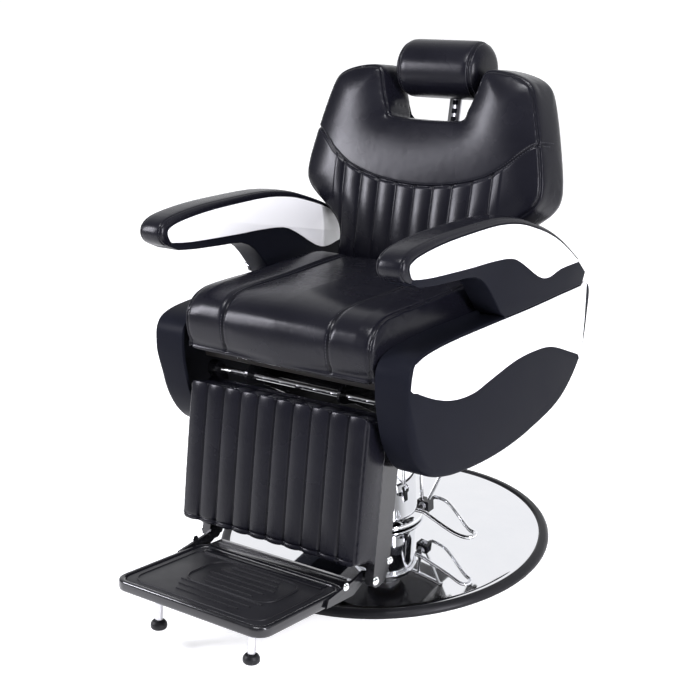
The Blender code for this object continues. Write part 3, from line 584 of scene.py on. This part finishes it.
def make_back_cushion():
    """Two padded lobes over ribbed channels, with a sewn edge, wrapped round the sides."""
    flat = [Vector((p.x, (p - back_origin).dot(slide) - back_top)) for p in back_face]
    outline = anticlockwise(inset_loop(anticlockwise(flat), -CUSHION_BEVEL))
    outline = evenly(smooth(outline, 4), 0.008, closed=True)
    outline = [Vector((p.x, -p.y)) for p in outline]
    sign = turn_sign(outline)
    in_notch = [abs(p.x) < 0.1 and p.y < 0.17 for p in outline]
    # (inset, depth) from the face to the rear; the headrest's notch never widens into the cushion's flare.
    shell = [(0.016, 0.002), (0.006, 0.003), (0.002, 0.008), (0.0, 0.016), (-0.004, 0.045)]
    shell += [(-0.008, back_depth - 0.02), (-0.003, back_depth - 0.005), (0.006, back_depth - 0.001)]
    rings = []
    for inset, depth in shell:
        amounts = [(max(inset, 0.001) if cut else inset) * sign for cut in in_notch]
        rings.append([on_back(p.x, p.y, depth) for p in inset_loop(outline, amounts)])
    piece = skinned("back_upholstery", rings, LEATHER, "backrest_cushion")
    remeshed(piece, 0.005)

    edge = [on_back(p.x, p.y, 0.005) for p in inset_loop(outline, 0.004 * sign)]
    smile = smile_line()
    ribs = rib_lines()

    def seam_distances():
        points = positions(piece.data)
        local = back_frame(points)
        front = np.clip((0.03 - local[:, 2]) / 0.01, 0, 1)
        to_edge = to_line(points, edge, closed=True)
        to_smile = to_line(local[:, :2], smile)
        to_ribs = np.min([to_line(local[:, :2], rib) for rib in ribs], axis=0)
        return local, front, to_edge, to_smile, to_ribs

    local, front, to_edge, to_smile, to_ribs = seam_distances()
    crown = 0.012 * (1 - np.clip(1 - to_edge / 0.07, 0, 1) ** 2) * front
    near_notch = np.exp(-(local[:, 0] / 0.11) ** 2 - (np.clip(local[:, 1] - 0.08, 0, 1) / 0.09) ** 2)
    crown *= 1 - 0.5 * near_notch
    put(piece.data, positions(piece.data) - np.array(inward) * crown[:, None])
    sewn = (to_smile < 0.004) | (to_ribs < 0.0035)
    held = (sewn & (front > 0.5)) | (to_edge < 0.004) | (local[:, 2] > back_depth - 0.012)
    padded_out(piece, held, 4.0, 0.007)

    local, front, to_edge, to_smile, to_ribs = seam_distances()
    puff = np.clip(1 - (1 - np.minimum(to_ribs, RIB_PITCH / 2) / (RIB_PITCH / 2)) ** 2, 0, 1)
    below = np.array([1.0 if down > smile_at(x) else 0.0 for x, down in local[:, :2]])
    inside = np.clip((to_edge - 0.012) / 0.02, 0, 1) * front
    lift = 0.0022 * (puff - 0.6) * below * inside * (np.abs(local[:, 0]) < RIBS_HALF_WIDTH + RIB_PITCH / 2)
    put(piece.data, positions(piece.data) - np.array(inward) * lift[:, None])
    smile_ends = np.clip((SMILE_HALF_WIDTH - np.abs(local[:, 0])) / 0.004, 0, 1)
    groove(piece, to_smile, 0.0028, 0.0045, front * smile_ends)
    groove(piece, to_ribs, 0.0022, 0.0032, front * below)
    groove(piece, to_edge, 0.0024, 0.0035)

    tree = surface(piece)
    rows = []
    for side in (-THREAD_OFFSET, THREAD_OFFSET):
        row = [on_back(p.x, p.y + side, 0.0) for p in evenly(smile, 0.004)]
        rows.append(laid(tree, row, inward))
    stitches("back_stitching", rows, "backrest")


make_back_cushion()


# ---- seat cushion ----
SEAT_SEAM = 0.126               # half the width of the seat's middle panel
SEAT_SIDE_SEAM = 0.217


def across_rings(outline, half, steps):
    """Rings of a pad with a (y, z) outline, half wide to each side, its ends eased by (gap, inset) steps."""
    rings = [[Vector((gap - half, *p)) for p in inset_loop(outline, inset)] for gap, inset in steps]
    return rings + [[Vector((-p.x, p.y, p.z)) for p in ring] for ring in reversed(rings)]


def make_seat_cushion():
    """A rolled front, a middle panel between two bolsters, and boxed sides."""
    low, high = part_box("seat_cushion")
    loop = anticlockwise([p.yz for p in face_loop("seat_cushion", X)])
    outline = evenly(smooth(inset_loop(loop, 0.003 - CUSHION_BEVEL), 4), 0.008, closed=True)
    rings = across_rings(outline, high.x, ((0.0, 0.014), (0.003, 0.005), (0.009, 0.001), (0.02, 0.0)))
    piece = skinned("seat_upholstery", rings, LEATHER, "seat_cushion")
    remeshed(piece, 0.005)

    def seams():
        points = positions(piece.data)
        across = np.abs(points[:, 0])
        covered = points[:, 2] > low.z + 0.012
        return points, across, np.abs(across - SEAT_SEAM), np.abs(across - SEAT_SIDE_SEAM), covered

    points, _, to_seam, to_side, covered = seams()
    held = ((to_seam < 0.004) & covered) | (to_side < 0.004) | (points[:, 2] < low.z + 0.004)
    padded_out(piece, held, 4.0, 0.012)

    points, across, to_seam, to_side, covered = seams()
    upper = np.clip((points[:, 2] - low.z - 0.05) / 0.04, 0, 1)
    bolster = np.clip((across - SEAT_SEAM) / 0.012, 0, 1) * np.clip((SEAT_SIDE_SEAM - across) / 0.03, 0, 1)
    dish = np.clip(1 - across / SEAT_SEAM, 0, 1) ** 0.7
    points[:, 2] += upper * (0.004 * bolster + 0.004 * dish)
    put(piece.data, points)
    groove(piece, to_seam, 0.0028, 0.005, covered * 1.0)
    groove(piece, to_side, 0.0026, 0.004)

    tree = surface(piece)
    rows = []
    for x in (-SEAT_SEAM, SEAT_SEAM):
        for side in (-THREAD_OFFSET, THREAD_OFFSET):
            steps_back = np.arange(high.y - 0.03, low.y + 0.045, -0.004)
            steps_down = np.arange(high.z - 0.035, low.z + 0.03, -0.004)
            rows.append(laid(tree, [Vector((x + side, y, high.z + 0.05)) for y in steps_back], -Z))
            rows.append(laid(tree, [Vector((x + side, low.y - 0.05, z)) for z in steps_down], Y))
    stitches("seat_stitching", rows, "seat")


make_seat_cushion()


# ---- calf pad ----
CALF_RIBS = 10
calf_faces = frame["nodes"]["calf_pad"].data.polygons
calf_front = next(face.normal for face in calf_faces if face.normal.y < -0.9 and face.area > 0.01)
CALF_LEAN = math.atan2(calf_front.z, -calf_front.y)


def make_calf_pad():
    """Ten sewn channels that fold over the top edge, between two side panels."""
    low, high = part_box("calf_pad")
    loop = anticlockwise([p.yz for p in face_loop("calf_pad", X)])
    outline = evenly(smooth(inset_loop(loop, -0.008), 3), 0.006, closed=True)
    half = high.x
    rings = across_rings(outline, half, ((0.0, 0.010), (0.002, 0.004), (0.007, 0.0005), (0.014, 0.0)))
    piece = skinned("calf_upholstery", rings, LEATHER, "calf_pad")
    remeshed(piece, 0.0045)
    pitch = 2 * (half - 0.004) / CALF_RIBS
    centre = Vector((0, (low.y + high.y) / 2, (low.z + high.z) / 2))
    normal = Vector((0, -math.cos(CALF_LEAN), math.sin(CALF_LEAN)))
    down = Vector((0, -math.sin(CALF_LEAN), -math.cos(CALF_LEAN)))

    def seams():
        points = positions(piece.data)
        away = points - np.array(centre)
        forward = away @ np.array(normal)
        along = away @ np.array(down)
        inner = np.abs(points[:, 0]) < half - 0.012
        to_rib = np.abs((points[:, 0] / pitch + 0.5) % 1 - 0.5) * pitch
        to_edge = np.abs(np.abs(points[:, 0]) - (half - 0.004))
        shown = np.clip((forward - forward.min() - 0.018) / 0.012, 0, 1)
        return points, to_rib, to_edge, inner, shown, along

    _, to_rib, to_edge, inner, shown, _ = seams()
    held = ((to_rib < 0.0035) & inner & (shown > 0.3)) | (to_edge < 0.003) | (shown <= 0)
    padded_out(piece, held, 4.0, 0.005)
    points, to_rib, to_edge, inner, shown, along = seams()
    puff = 1 - (1 - np.minimum(to_rib, pitch / 2) / (pitch / 2)) ** 2
    lift = 0.003 * (puff - 0.6) * shown * inner
    put(piece.data, points + positions(piece.data, "normal") * lift[:, None])
    groove(piece, to_rib, 0.0022, 0.0034, shown * inner)
    groove(piece, to_edge, 0.0022, 0.003)
    groove(piece, np.abs(along.max() - 0.018 - along), 0.002, 0.0018, shown * inner)


make_calf_pad()


# ---- headrest ----
HEAD_SEAM = 0.086               # from the middle to the seam before each end cap
RECESS_SIZE = (0.041, 0.066, 0.09)


def make_headrest():
    """A bolster with sewn end caps, open at its rear for the bar."""
    low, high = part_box("headrest_cushion")
    centre = (low + high) / 2
    radius, half, round_off = (high.z - low.z) / 2 - 0.003, high.x - 0.001, 0.03
    profile = [(0.004, half), *arc((radius - round_off, half - round_off), round_off, 90, 0, 6)]
    profile += [(r, -h) for r, h in reversed(profile)]
    rings = [[centre + Vector((h, r * math.cos(a), r * math.sin(a))) for a in around(72)] for r, h in profile]
    piece = skinned("headrest_upholstery", rings, LEATHER, "headrest_cushion")

    bm = bmesh.new()
    bmesh.ops.create_cube(bm, size=1.0, matrix=Matrix.Diagonal((*RECESS_SIZE, 1)))
    mesh = bpy.data.meshes.new("recess")
    bm.to_mesh(mesh)
    bm.free()
    recess = linked("recess", mesh)
    back_axes = Matrix((X, inward, slide)).transposed().to_4x4()
    pivot = Vector(joints["headrest_tilt"]["pos_m"])
    recess.matrix_world = Matrix.Translation(pivot - slide * 0.02 + inward * 0.012) @ back_axes
    cut = piece.modifiers.new("cut", "BOOLEAN")
    cut.object = recess
    cut.solver = "EXACT"
    baked(piece)
    bpy.data.objects.remove(recess)
    remeshed(piece, 0.004)
    points = positions(piece.data)
    near_recess = (np.abs(points[:, 0]) < 0.03) & ((points - np.array(centre)) @ np.array(inward) > 0.0)
    held = (np.abs(np.abs(points[:, 0]) - HEAD_SEAM) < 0.003) | near_recess
    padded_out(piece, held, 3.0, 0.003)
    points = positions(piece.data)
    groove(piece, np.abs(np.abs(points[:, 0]) - HEAD_SEAM), 0.0026, 0.004)
    tree = surface(piece)
    rows = []
    for x in (-HEAD_SEAM, HEAD_SEAM):
        for side in (-0.0045, 0.0045):
            row = []
            for i in range(121):
                a = math.radians(3 * i)
                away = inward * math.cos(a) + slide * math.sin(a)
                hit, normal, _, _ = tree.ray_cast(centre + X * (x + side) + away * 0.15, -away)
                row.append(hit + normal * THREAD_LIFT)
            rows.append(row)
    stitches("headrest_stitching", rows, "headrest")


make_headrest()


# ---- arms and side covers ----
def slab(name, loop, low, high, edge, look, node, steps=4):
    """A plate with a (y, z) outline, between two x values, its edges rounded by edge."""
    loop = anticlockwise(loop)
    quarter = [(edge * (1 - math.cos(a)), edge * (1 - math.sin(a)))
               for a in (math.pi / 2 * i / steps for i in range(steps + 1))]
    rings = [[Vector((low + x, *p)) for p in inset_loop(loop, inset)] for x, inset in quarter]
    rings += [[Vector((high - x, *p)) for p in inset_loop(loop, inset)] for x, inset in reversed(quarter)]
    skinned(name, rings, look, node)


def side_loop(node, sign):
    """The (y, z) edge of a node's flat side towards +X or -X."""
    return [p.yz for p in face_loop(node, X * sign)]


def make_arm(side, sign):
    """A moulded loop with a lacquered inlay on each face and a padded leather band round its top."""
    core = "arm_" + side
    low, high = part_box(core)
    arm_loop = side_loop(core, sign)
    slab("armrest_core_" + side, arm_loop, low.x, high.x, 0.0025, SATIN, core)
    for face in ("inner", "outer"):
        node = f"arm_panel_{face}_{side}"
        flat_low, flat_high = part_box(node)
        loop = smooth(evenly(anticlockwise(side_loop(node, 1)), 0.01, closed=True), 3)
        slab(node.replace("panel", "inlay"), loop, flat_low.x, flat_high.x, 0.0012, WHITE, node)

    pad_low, pad_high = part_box("arm_pad_" + side)
    band = evenly(anticlockwise(side_loop("arm_pad_" + side, sign)), 0.004, closed=True)
    from_arm = to_line(np.array([[0, *p] for p in band]), [(0, *p) for p in arm_loop], closed=True)
    weight = np.clip((from_arm - 0.001) / 0.006, 0, 1)
    middle, half = (pad_low.x + pad_high.x) / 2, (pad_high.x - pad_low.x) / 2
    rings = []
    for t in np.sin(np.linspace(-1, 1, 49) * math.pi / 2):
        from_edge = half * (1 - abs(t))
        rolled = 0.004 * max(0.0, 1 - from_edge / 0.005) ** 2
        seam = 0.0016 * math.exp(-((from_edge - 0.007) / 0.0014) ** 2)
        crown = 0.0035 * (1 - abs(t) ** 3)
        moved = inset_loop(band, list(weight * (rolled + seam - crown)))
        rings.append([Vector((middle + half * t, *p)) for p in moved])
    pad = skinned("armrest_band_" + side, rings, LEATHER, "arm_pad_" + side)


def make_cover(side, sign):
    """A moulded shell, hollow towards the seat, with a lacquered inlay on its upper half."""
    shell = "side_cover_" + side
    low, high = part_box(shell)
    outer, inner = (high.x, low.x) if sign > 0 else (low.x, high.x)
    wall = 0.0064
    loop = anticlockwise(side_loop(shell, sign))
    loop = evenly(smooth(inset_loop(loop, -0.004), 2), 0.008, closed=True)
    y, z = np.array([list(p) for p in loop]).T
    front = np.clip((0.49 - z) / 0.05, 0, 1) * np.clip((-0.2 - y) / 0.08, 0, 1)
    edge = 0.006 + 0.009 * front       # the edge's round is wider at the front's lower corner
    rings = [[Vector((outer - sign * wall, *p)) for p in inset_loop(loop, wall)]]
    rings.append([Vector((inner, *p)) for p in inset_loop(loop, wall)])
    rings.append([Vector((inner, *p)) for p in inset_loop(loop, 0.0008)])
    rings.append([Vector((inner + sign * 0.0008, *p)) for p in loop])
    for i in range(7):
        a = math.pi / 2 * i / 6
        back_off = edge * (1 - math.sin(a))
        moved = inset_loop(loop, list(edge * (1 - math.cos(a))))
        rings.append([Vector((outer - sign * b, *p)) for p, b in zip(moved, back_off)])
    skinned("cover_shell_" + side, rings, SATIN, shell)
    node = "cover_panel_" + side
    flat_low, flat_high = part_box(node)
    slab("cover_inlay_" + side, smooth(side_loop(node, 1), 2), flat_low.x, flat_high.x, 0.0014, WHITE, node)


for side, sign in (("left", 1), ("right", -1)):
    make_arm(side, sign)
    make_cover(side, sign)


# ---- base and pump ----
AXIS_GAP = 0.0004               # radius at which a solid turned piece's ends close


def turned_profile(node):
    """The (radius, height) outline a turned CAD node was spun from, and whether it is a closed ring."""
    bm = welded(node)
    start = max(bm.verts, key=lambda v: v.co.xy.length).co.copy()

    def on_cut(vert):
        flat = vert.co.xy
        return flat.length < 1e-5 or abs(start.xy.angle_signed(flat)) < 1e-3

    cut = [v for v in bm.verts if on_cut(v)]
    links = {v: [e.other_vert(v) for e in v.link_edges if on_cut(e.other_vert(v))] for v in cut}
    path = [min(cut, key=lambda v: (len(links[v]), v.co.xy.length))]
    while True:
        ahead = [v for v in links[path[-1]] if v not in path]
        if not ahead:
            break
        path.append(ahead[0])
    profile = [(v.co.xy.length, v.co.z) for v in path]
    ring = path[0] in links[path[-1]]
    bm.free()
    return profile, ring


def filleted(profile, edge, closed=True):
    """Rounds a profile's sharp corners by up to edge, and leaves its shallow bends."""
    made = []
    count = len(profile)
    for i, here in enumerate(profile):
        here = Vector(here)
        before, after = Vector(profile[i - 1]) - here, Vector(profile[(i + 1) % count]) - here
        at_end = not closed and i in (0, count - 1)
        turn = math.pi - before.angle(after, math.pi)
        if at_end or turn < math.radians(20) or here.x < 1e-5:
            made.append(tuple(here))
            continue
        reach = min(edge, 0.45 * before.length, 0.45 * after.length)
        a, b = here + before.normalized() * reach, here + after.normalized() * reach
        for t in (0, 0.25, 0.5, 0.75, 1):
            made.append(tuple((1 - t) ** 2 * a + 2 * t * (1 - t) * here + t ** 2 * b))
    return made


def turned_again(node, name, edge):
    """A turned CAD node with a finer round and eased corners."""
    profile, ring = turned_profile(node)
    if not ring:
        profile = [(AXIS_GAP, profile[0][1]), *profile, (AXIS_GAP, profile[-1][1])]
    rounded_off = filleted(profile, edge, closed=ring)
    if ring:
        rounded_off.append(rounded_off[0])
    lathe(name, rounded_off, LOOKS[SLOT_OF[node]], node)


def make_base_disc():
    """A mirror-bright dome, its upper face fitted through the CAD disc's rings."""
    profile, _ = turned_profile("base_plate")
    rim = max(r for r, _ in profile)
    upper = {}
    for r, z in profile:
        upper[round(r, 4)] = max(z, upper.get(round(r, 4), 0))
    top = sorted((r, z) for r, z in upper.items() if z > 0.012)
    dome = np.polyfit([r for r, _ in top], [z for _, z in top], 4)
    inner = top[0][0]
    radii = np.linspace(inner, rim - 0.001, 44)
    skin = [(r, float(np.polyval(dome, r))) for r in radii]
    foot = [(rim, skin[-1][1] - 0.001), (rim, 0.0), (rim - 0.004, 0.0), (rim - 0.004, skin[-1][1] - 0.005)]
    under = [(r, z - 0.004) for r, z in reversed(skin[:-2])]
    profile = skin + foot + under
    lathe("base_dome", profile + profile[:1], CHROME, "base_plate", sides=224)


make_base_disc()
turned_again("base_rim", "base_edge", 0.004)
for node, name, edge in (("pump_skirt", "skirt_ring", 0.003), ("pump_housing", "pump_shell", 0.004),
                         ("pump_cylinder", "cylinder_turned", 0.001), ("guide_bush", "bush_turned", 0.0012),
                         ("piston_rod", "rod_turned", 0.0008), ("swivel_hub", "hub_turned", 0.0012)):
    turned_again(node, name, edge)


COLLAR_RADIUS = 0.083
COLLAR_LOW, COLLAR_HIGH = 0.196, 0.212


def make_pedal():
    """The hanger's collar, arm and two stays, the pedal's bent wire, and the pivot's bolts."""
    pivot = Vector(joints["pedal_press"]["pos_m"])
    arm_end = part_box("pedal_hanger")[1].x - 0.003
    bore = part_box("pump_housing")[1].x + 0.0006
    bm = bmesh.new()
    ring = [(bore, COLLAR_LOW), (COLLAR_RADIUS, COLLAR_LOW), (COLLAR_RADIUS, COLLAR_HIGH)]
    ring = filleted([*ring, (bore, COLLAR_HIGH)], 0.0025)
    turned_into(bm, ring + ring[:1], sides=128)
    arm_height = (COLLAR_LOW + COLLAR_HIGH) / 2
    tube_into(bm, [Vector((x, 0, arm_height)) for x in (0.0795, 0.12, arm_end)], 0.006, 20)
    for foot_x, head_x, foot_z in ((-0.008, -0.008, 0.0105), (0.0095, 0.052, 0.0135)):
        foot = pivot + Vector((foot_x, 0, foot_z))
        head = Vector((pivot.x + head_x, 0, 0.2))
        tube_into(bm, [foot, foot.lerp(head, 0.5), head], 0.004, 20)
    placed(bm, "hanger_finished", CHROME, "pedal_hanger")

    far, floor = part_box("pump_pedal")[1].x - pivot.x - 0.005, 0.088 - pivot.z
    loop = [(0, 0.036, 0), (0.02, 0.036, 0), (0.05, 0.024, -0.003), (far - 0.027, -0.03, floor + 0.001)]
    loop += [(far - 0.004, -0.04, floor), (far, -0.055, floor), (far - 0.012, -0.066, floor)]
    loop += [(far - 0.047, -0.06, floor + 0.001), (0.04, -0.042, -0.003), (0.02, -0.036, 0), (0, -0.036, 0)]
    wire = smooth([pivot + Vector(p) for p in loop], 7, closed=False)
    bm = bmesh.new()
    tube_into(bm, wire, 0.0045, 18)
    placed(bm, "pedal_wire", CHROME, "pump_pedal")

    bm = bmesh.new()
    for side in (-1, 1):
        dome_bolt(bm, pivot + Y * side * 0.0115, Y * side, 0.006)
    dome_bolt(bm, pivot - Z * 0.0145, -Z, 0.0055)
    placed(bm, "pedal_bolts", STEEL, slot="steel", body="base")


make_pedal()


# ---- footplate ----
tread = next(mount for mount in frame["record"]["mounts"] if mount["name"] == "foot_rest")
TREAD_UP = Vector(tread["axis"]).normalized()
TREAD_FRONT = X.cross(TREAD_UP) * (-1 if X.cross(TREAD_UP).y > 0 else 1)
TREAD_CENTRE = Vector(tread["pos_m"])
RIM = 0.0025                    # how far the tray's rim stands above the mat
MAT_INSET = 0.0125
TAIL_HALF_WIDTH = 0.17          # the narrower tail behind the tray
NEST_OFFSET = 0.012             # the mat's raised pattern lies a little to the sitter's left


def on_tread(x, forward, up=0.0):
    """World point: across, forward of the tread's centre, and above its face."""
    return TREAD_CENTRE + X * x + TREAD_FRONT * forward + TREAD_UP * up


def cut_corners(half_wide, half_long, corner, steps=6):
    """Outline of a rectangle with rounded corners, as (x, forward)."""
    loop = []
    for x, y, start in ((1, 1, 0), (-1, 1, 90), (-1, -1, 180), (1, -1, 270)):
        loop += arc((x * (half_wide - corner), y * (half_long - corner)), corner, start, start + 90, steps)
    return [Vector(p) for p in loop]


def stacked(bm, steps, half_wide, half_long, middle, corner, ease):
    """Adds a plate on the tread from (inset, height) steps; each corner tightens by ease times the inset."""
    rings = []
    for inset, up in steps:
        loop = cut_corners(half_wide - inset, half_long - inset, corner - inset * ease)
        rings.append([on_tread(p.x, p.y + middle, up) for p in loop])
    lofted(bm, rings)


def tread_loop(bm, loop, across, forward, up, radius):
    """Adds a raised closed line to the mat."""
    path = [on_tread(p.x + across, p.y + forward, up) for p in evenly(loop, 0.006, closed=True)]
    tube_into(bm, path, radius, 8, True)


def standing(node):
    """A leg piece's radius, its lowest and highest point off the tread, and its axis's point on the tread."""
    low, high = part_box(node)
    spots = [v.co - TREAD_CENTRE for v in frame["nodes"][node].data.vertices]
    ups = [p.dot(TREAD_UP) for p in spots]
    forward = sum(p.dot(TREAD_FRONT) for p in spots) / len(spots)
    return (high.x - low.x) / 2, min(ups), max(ups), on_tread((low.x + high.x) / 2, forward)


def make_footplate():
    """A pressed tray with a narrower tail, its ribbed mat and strip, two arms' bolts, and the legs."""
    half_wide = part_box("footplate_tray")[1].x
    ends = [(v.co - TREAD_CENTRE).dot(TREAD_FRONT) for v in frame["nodes"]["footplate_mat"].data.vertices]
    middle, half_long = (max(ends) + min(ends)) / 2, (max(ends) - min(ends)) / 2 + MAT_INSET
    pressed = [v.co - TREAD_CENTRE for v in frame["nodes"]["footplate_tray"].data.vertices]
    floor = min(p.dot(TREAD_UP) for p in pressed)
    tail = min(p.dot(TREAD_FRONT) for p in pressed)
    section = [(0.02, floor), (0.004, floor), (0.001, floor + 0.002), (0.0, floor + 0.005)]
    section += [(0.0, RIM - 0.004), (0.0008, RIM - 0.0018), (0.0025, RIM - 0.0004), (0.005, RIM)]
    section += [(0.0085, RIM - 0.0004), (0.0105, RIM - 0.0018), (0.0117, RIM - 0.004), (0.012, -0.0046)]
    bm = bmesh.new()
    stacked(bm, section, half_wide, half_long, middle, 0.03, 0.6)
    tail_front = middle - half_long + 0.008
    section = [(0.002, RIM - 0.012), (0.0, RIM - 0.01), (0.0, RIM - 0.0045), (0.0008, RIM - 0.003)]
    section += [(0.0025, RIM - 0.002)]
    stacked(bm, section, TAIL_HALF_WIDTH, (tail_front - tail) / 2, (tail + tail_front) / 2, 0.008, 0.5)
    reach = TAIL_HALF_WIDTH - 0.014
    for gap in (0.012, 0.024):
        tube_into(bm, [on_tread(x, tail + gap, RIM - 0.002) for x in (-reach, 0, reach)], 0.0014, 12)
    placed(bm, "tray_pressed", PAINT, "footplate_tray")

    bm = bmesh.new()
    section = [(MAT_INSET, -0.004), (MAT_INSET, -0.0012), (MAT_INSET + 0.001, -0.0003)]
    section += [(MAT_INSET + 0.0025, 0.0)]
    stacked(bm, section, half_wide, half_long, middle, 0.03, 0.6)
    tread_loop(bm, cut_corners(half_wide - 0.026, half_long - 0.024, 0.03, 8), 0.0, middle, 0.0002, 0.0016)
    tread_loop(bm, cut_corners(0.105, 0.058, 0.035, 8), NEST_OFFSET, middle - 0.022, 0.0004, 0.0019)
    for row in range(8):
        forward = middle - 0.062 + 0.0205 * row
        reach = 0.078 - 0.01 * abs(row - 2) if row < 5 else 0.098 - 0.012 * (row - 5)
        path = [on_tread(NEST_OFFSET - reach + 2 * reach * i / 12, forward, 0.0004) for i in range(13)]
        tube_into(bm, path, 0.0019, 8)
    placed(bm, "tread_mat", RUBBER, "footplate_mat")

    bm = bmesh.new()
    section = [(0.0, 0.0002), (0.0, 0.0022), (0.0018, 0.0036), (0.006, 0.004)]
    stacked(bm, section, 0.148, 0.0125, middle - half_long + 0.028, 0.006, 0.5)
    placed(bm, "tread_strip", PAINT, slot="black_steel", body="footplate")

    pivot = Vector(joints["footplate_fold"]["pos_m"])
    for side, sign in (("left", 1), ("right", -1)):
        arm_face = sign * (half_wide + 0.0061)
        cheek_face = sign * (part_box("legrest_cheek_left")[1].x + 0.0006)
        bm = bmesh.new()
        dome_bolt(bm, Vector((arm_face, pivot.y - 0.058, pivot.z + 0.008)), X * sign, 0.0058)
        dome_bolt(bm, Vector((cheek_face, pivot.y, pivot.z)), X * sign, 0.0062)
        placed(bm, "footplate_bolts_" + side, CHROME, slot="chrome", body="footplate")
        bm = bmesh.new()
        dome_bolt(bm, Vector((cheek_face - sign * 0.0006, pivot.y + 0.05, pivot.z + 0.02)), X * sign, 0.0058)
        placed(bm, "cheek_bolt_" + side, CHROME, slot="chrome", body="legrest")
        leg, foot = "footplate_leg_" + side, "rubber_foot_" + side
        radius, low, high, centre = standing(leg)
        profile = filleted([(AXIS_GAP, low), (radius, low), (radius, high), (AXIS_GAP, high)], 0.001, False)
        lathe("leg_turned_" + side, profile, STEEL, leg, centre, TREAD_UP, 40)
        wide, low, high, _ = standing(foot)
        profile = [(AXIS_GAP, low), (wide - 0.003, low), (wide, low + 0.004), (wide, high - 0.007)]
        profile += [(wide - 0.003, high - 0.002), (radius + 0.003, high), (AXIS_GAP, high)]
        lathe("foot_moulded_" + side, filleted(profile, 0.002, False), RUBBER, foot, centre, TREAD_UP, 48)


make_footplate()


# ---- frame and fittings ----
for side in ("left", "right"):
    for node in ("arm_bracket_", "back_bracket_", "frame_side_", "legrest_cheek_", "footplate_arm_"):
        rounded(node + side, 0.0012)
for node in ("mount_plate", "seat_board", "legrest_board", "legrest_brace", "legrest_link", "pedal_carrier",
             "headrest_guide", "lever_boss", "recline_lever", "cross_tube_front", "cross_tube_rear"):
    rounded(node, 0.001)
rounded("lever_grip", 0.003, segments=5)
rounded("backrest_panel", 0.004, segments=5)


def make_bar():
    """The headrest's flat bar, with a row of thin black plates down its front: painted shade for its detent
    slots.
    """
    rounded("headrest_bar", 0.001, STEEL)
    face = face_loop("headrest_bar", -inward)
    ups = [(p - back_origin).dot(slide) for p in face]
    depth = (face[0] - back_origin).dot(inward)
    bm = bmesh.new()
    up = max(ups) - 0.02
    # Each slot is painted shade: a thin black plate on the bar's face in place of a dark hole.
    while up > min(ups) + 0.05:
        rings = []
        for inset, out in ((0.0, 0.0), (0.0, 0.0003), (0.0008, 0.0005)):
            loop = cut_corners(0.0062 - inset, 0.0052 - inset, 0.0016 - inset * 0.5, 3)
            rings.append([back_origin + X * p.x + slide * (up + p.y) + inward * (depth - out) for p in loop])
        lofted(bm, rings)
        up -= 0.018
    placed(bm, "bar_slots", SATIN, slot="black_plastic", body="headrest_bar")


make_bar()


# ---- stage, light and camera ---------------------------------------------------------------------------
def make_stage():
    """A pale floor that runs to the horizon and glows a little, as a lit studio sweep does."""
    bm = bmesh.new()
    bmesh.ops.create_grid(bm, x_segments=1, y_segments=1, size=40.0)
    mesh = bpy.data.meshes.new("floor")
    bm.to_mesh(mesh)
    bm.free()
    floor = linked("floor", mesh)
    look = shaded("pale_floor", (0.9, 0.9, 0.9), (0.93, 0.93, 0.93), (0.6, 0.7), spread=0.6)
    shader = look.node_tree.nodes["Principled BSDF"]
    dial(shader, Emission_Color=(1, 1, 1, 1), Emission_Strength=0.5)
    mesh.materials.append(look)


def area_light(name, place, target, size, power, colour):
    """A rectangular softbox at a place, turned towards a target."""
    light = bpy.data.lights.new(name, "AREA")
    light.shape = "RECTANGLE"
    light.size, light.size_y = size
    light.energy = power
    light.color = colour
    lamp = linked(name, light)
    lamp.location = place
    lamp.rotation_euler = (Vector(target) - Vector(place)).to_track_quat("-Z", "Y").to_euler()


def make_light():
    """A white backdrop, dimmer in front of the chair in reflections, and three softboxes."""
    world = bpy.data.worlds.new("studio")
    bpy.context.scene.world = world
    world.use_nodes = True
    tree = world.node_tree
    sky = tree.nodes["Background"]
    dial(sky, Color=(0.97, 0.975, 1.0, 1.0))
    place = tree.nodes.new("ShaderNodeTexCoord")
    parts = tree.nodes.new("ShaderNodeSeparateXYZ")
    glow = tree.nodes.new("ShaderNodeMapRange")
    glow.interpolation_type = "SMOOTHSTEP"
    dial(glow, From_Min=-0.2, From_Max=0.6, To_Min=0.34, To_Max=1.0)
    seen = tree.nodes.new("ShaderNodeLightPath")
    brighter = tree.nodes.new("ShaderNodeMath")
    brighter.operation = "MAXIMUM"
    tree.links.new(place.outputs["Generated"], parts.inputs["Vector"])
    tree.links.new(parts.outputs["Y"], glow.inputs["Value"])
    tree.links.new(glow.outputs["Result"], brighter.inputs[0])
    tree.links.new(seen.outputs["Is Camera Ray"], brighter.inputs[1])
    tree.links.new(brighter.outputs["Value"], sky.inputs["Strength"])
    area_light("left_box", (-2.1, -2.0, 1.7), (0, 0, 0.6), (0.5, 1.2), 88.0, (0.92, 0.91, 1.0))
    area_light("right_box", (2.5, -0.9, 1.3), (0, 0, 0.6), (0.3, 1.5), 80.0, (0.93, 0.92, 1.0))
    area_light("top_box", (0.2, -1.1, 3.0), (0, -0.1, 0.5), (1.3, 0.5), 72.0, (0.96, 0.96, 1.0))


def make_camera():
    """The photograph's own view: from the sitter's front left, a little above."""
    azimuth, elevation, roll = (math.radians(a) for a in (36.4, 19.7, -2.94))
    back = Matrix.Rotation(azimuth, 3, "Z") @ Vector((0, -math.cos(elevation), math.sin(elevation)))
    right = Vector((math.cos(azimuth), math.sin(azimuth), 0))
    up = back.cross(right)
    turned_right = right * math.cos(roll) + up * math.sin(roll)
    turned_up = up * math.cos(roll) - right * math.sin(roll)
    data = bpy.data.cameras.new("camera")
    data.sensor_width = 36.0
    data.lens = 68.6
    camera = linked("camera", data)
    axes = Matrix((turned_right, turned_up, back)).transposed().to_4x4()
    camera.matrix_world = Matrix.Translation((1.522, -2.155, 1.379)) @ axes
    bpy.context.scene.camera = camera


make_stage()
make_light()
make_camera()
bpy.context.scene.view_settings.view_transform = "Standard"
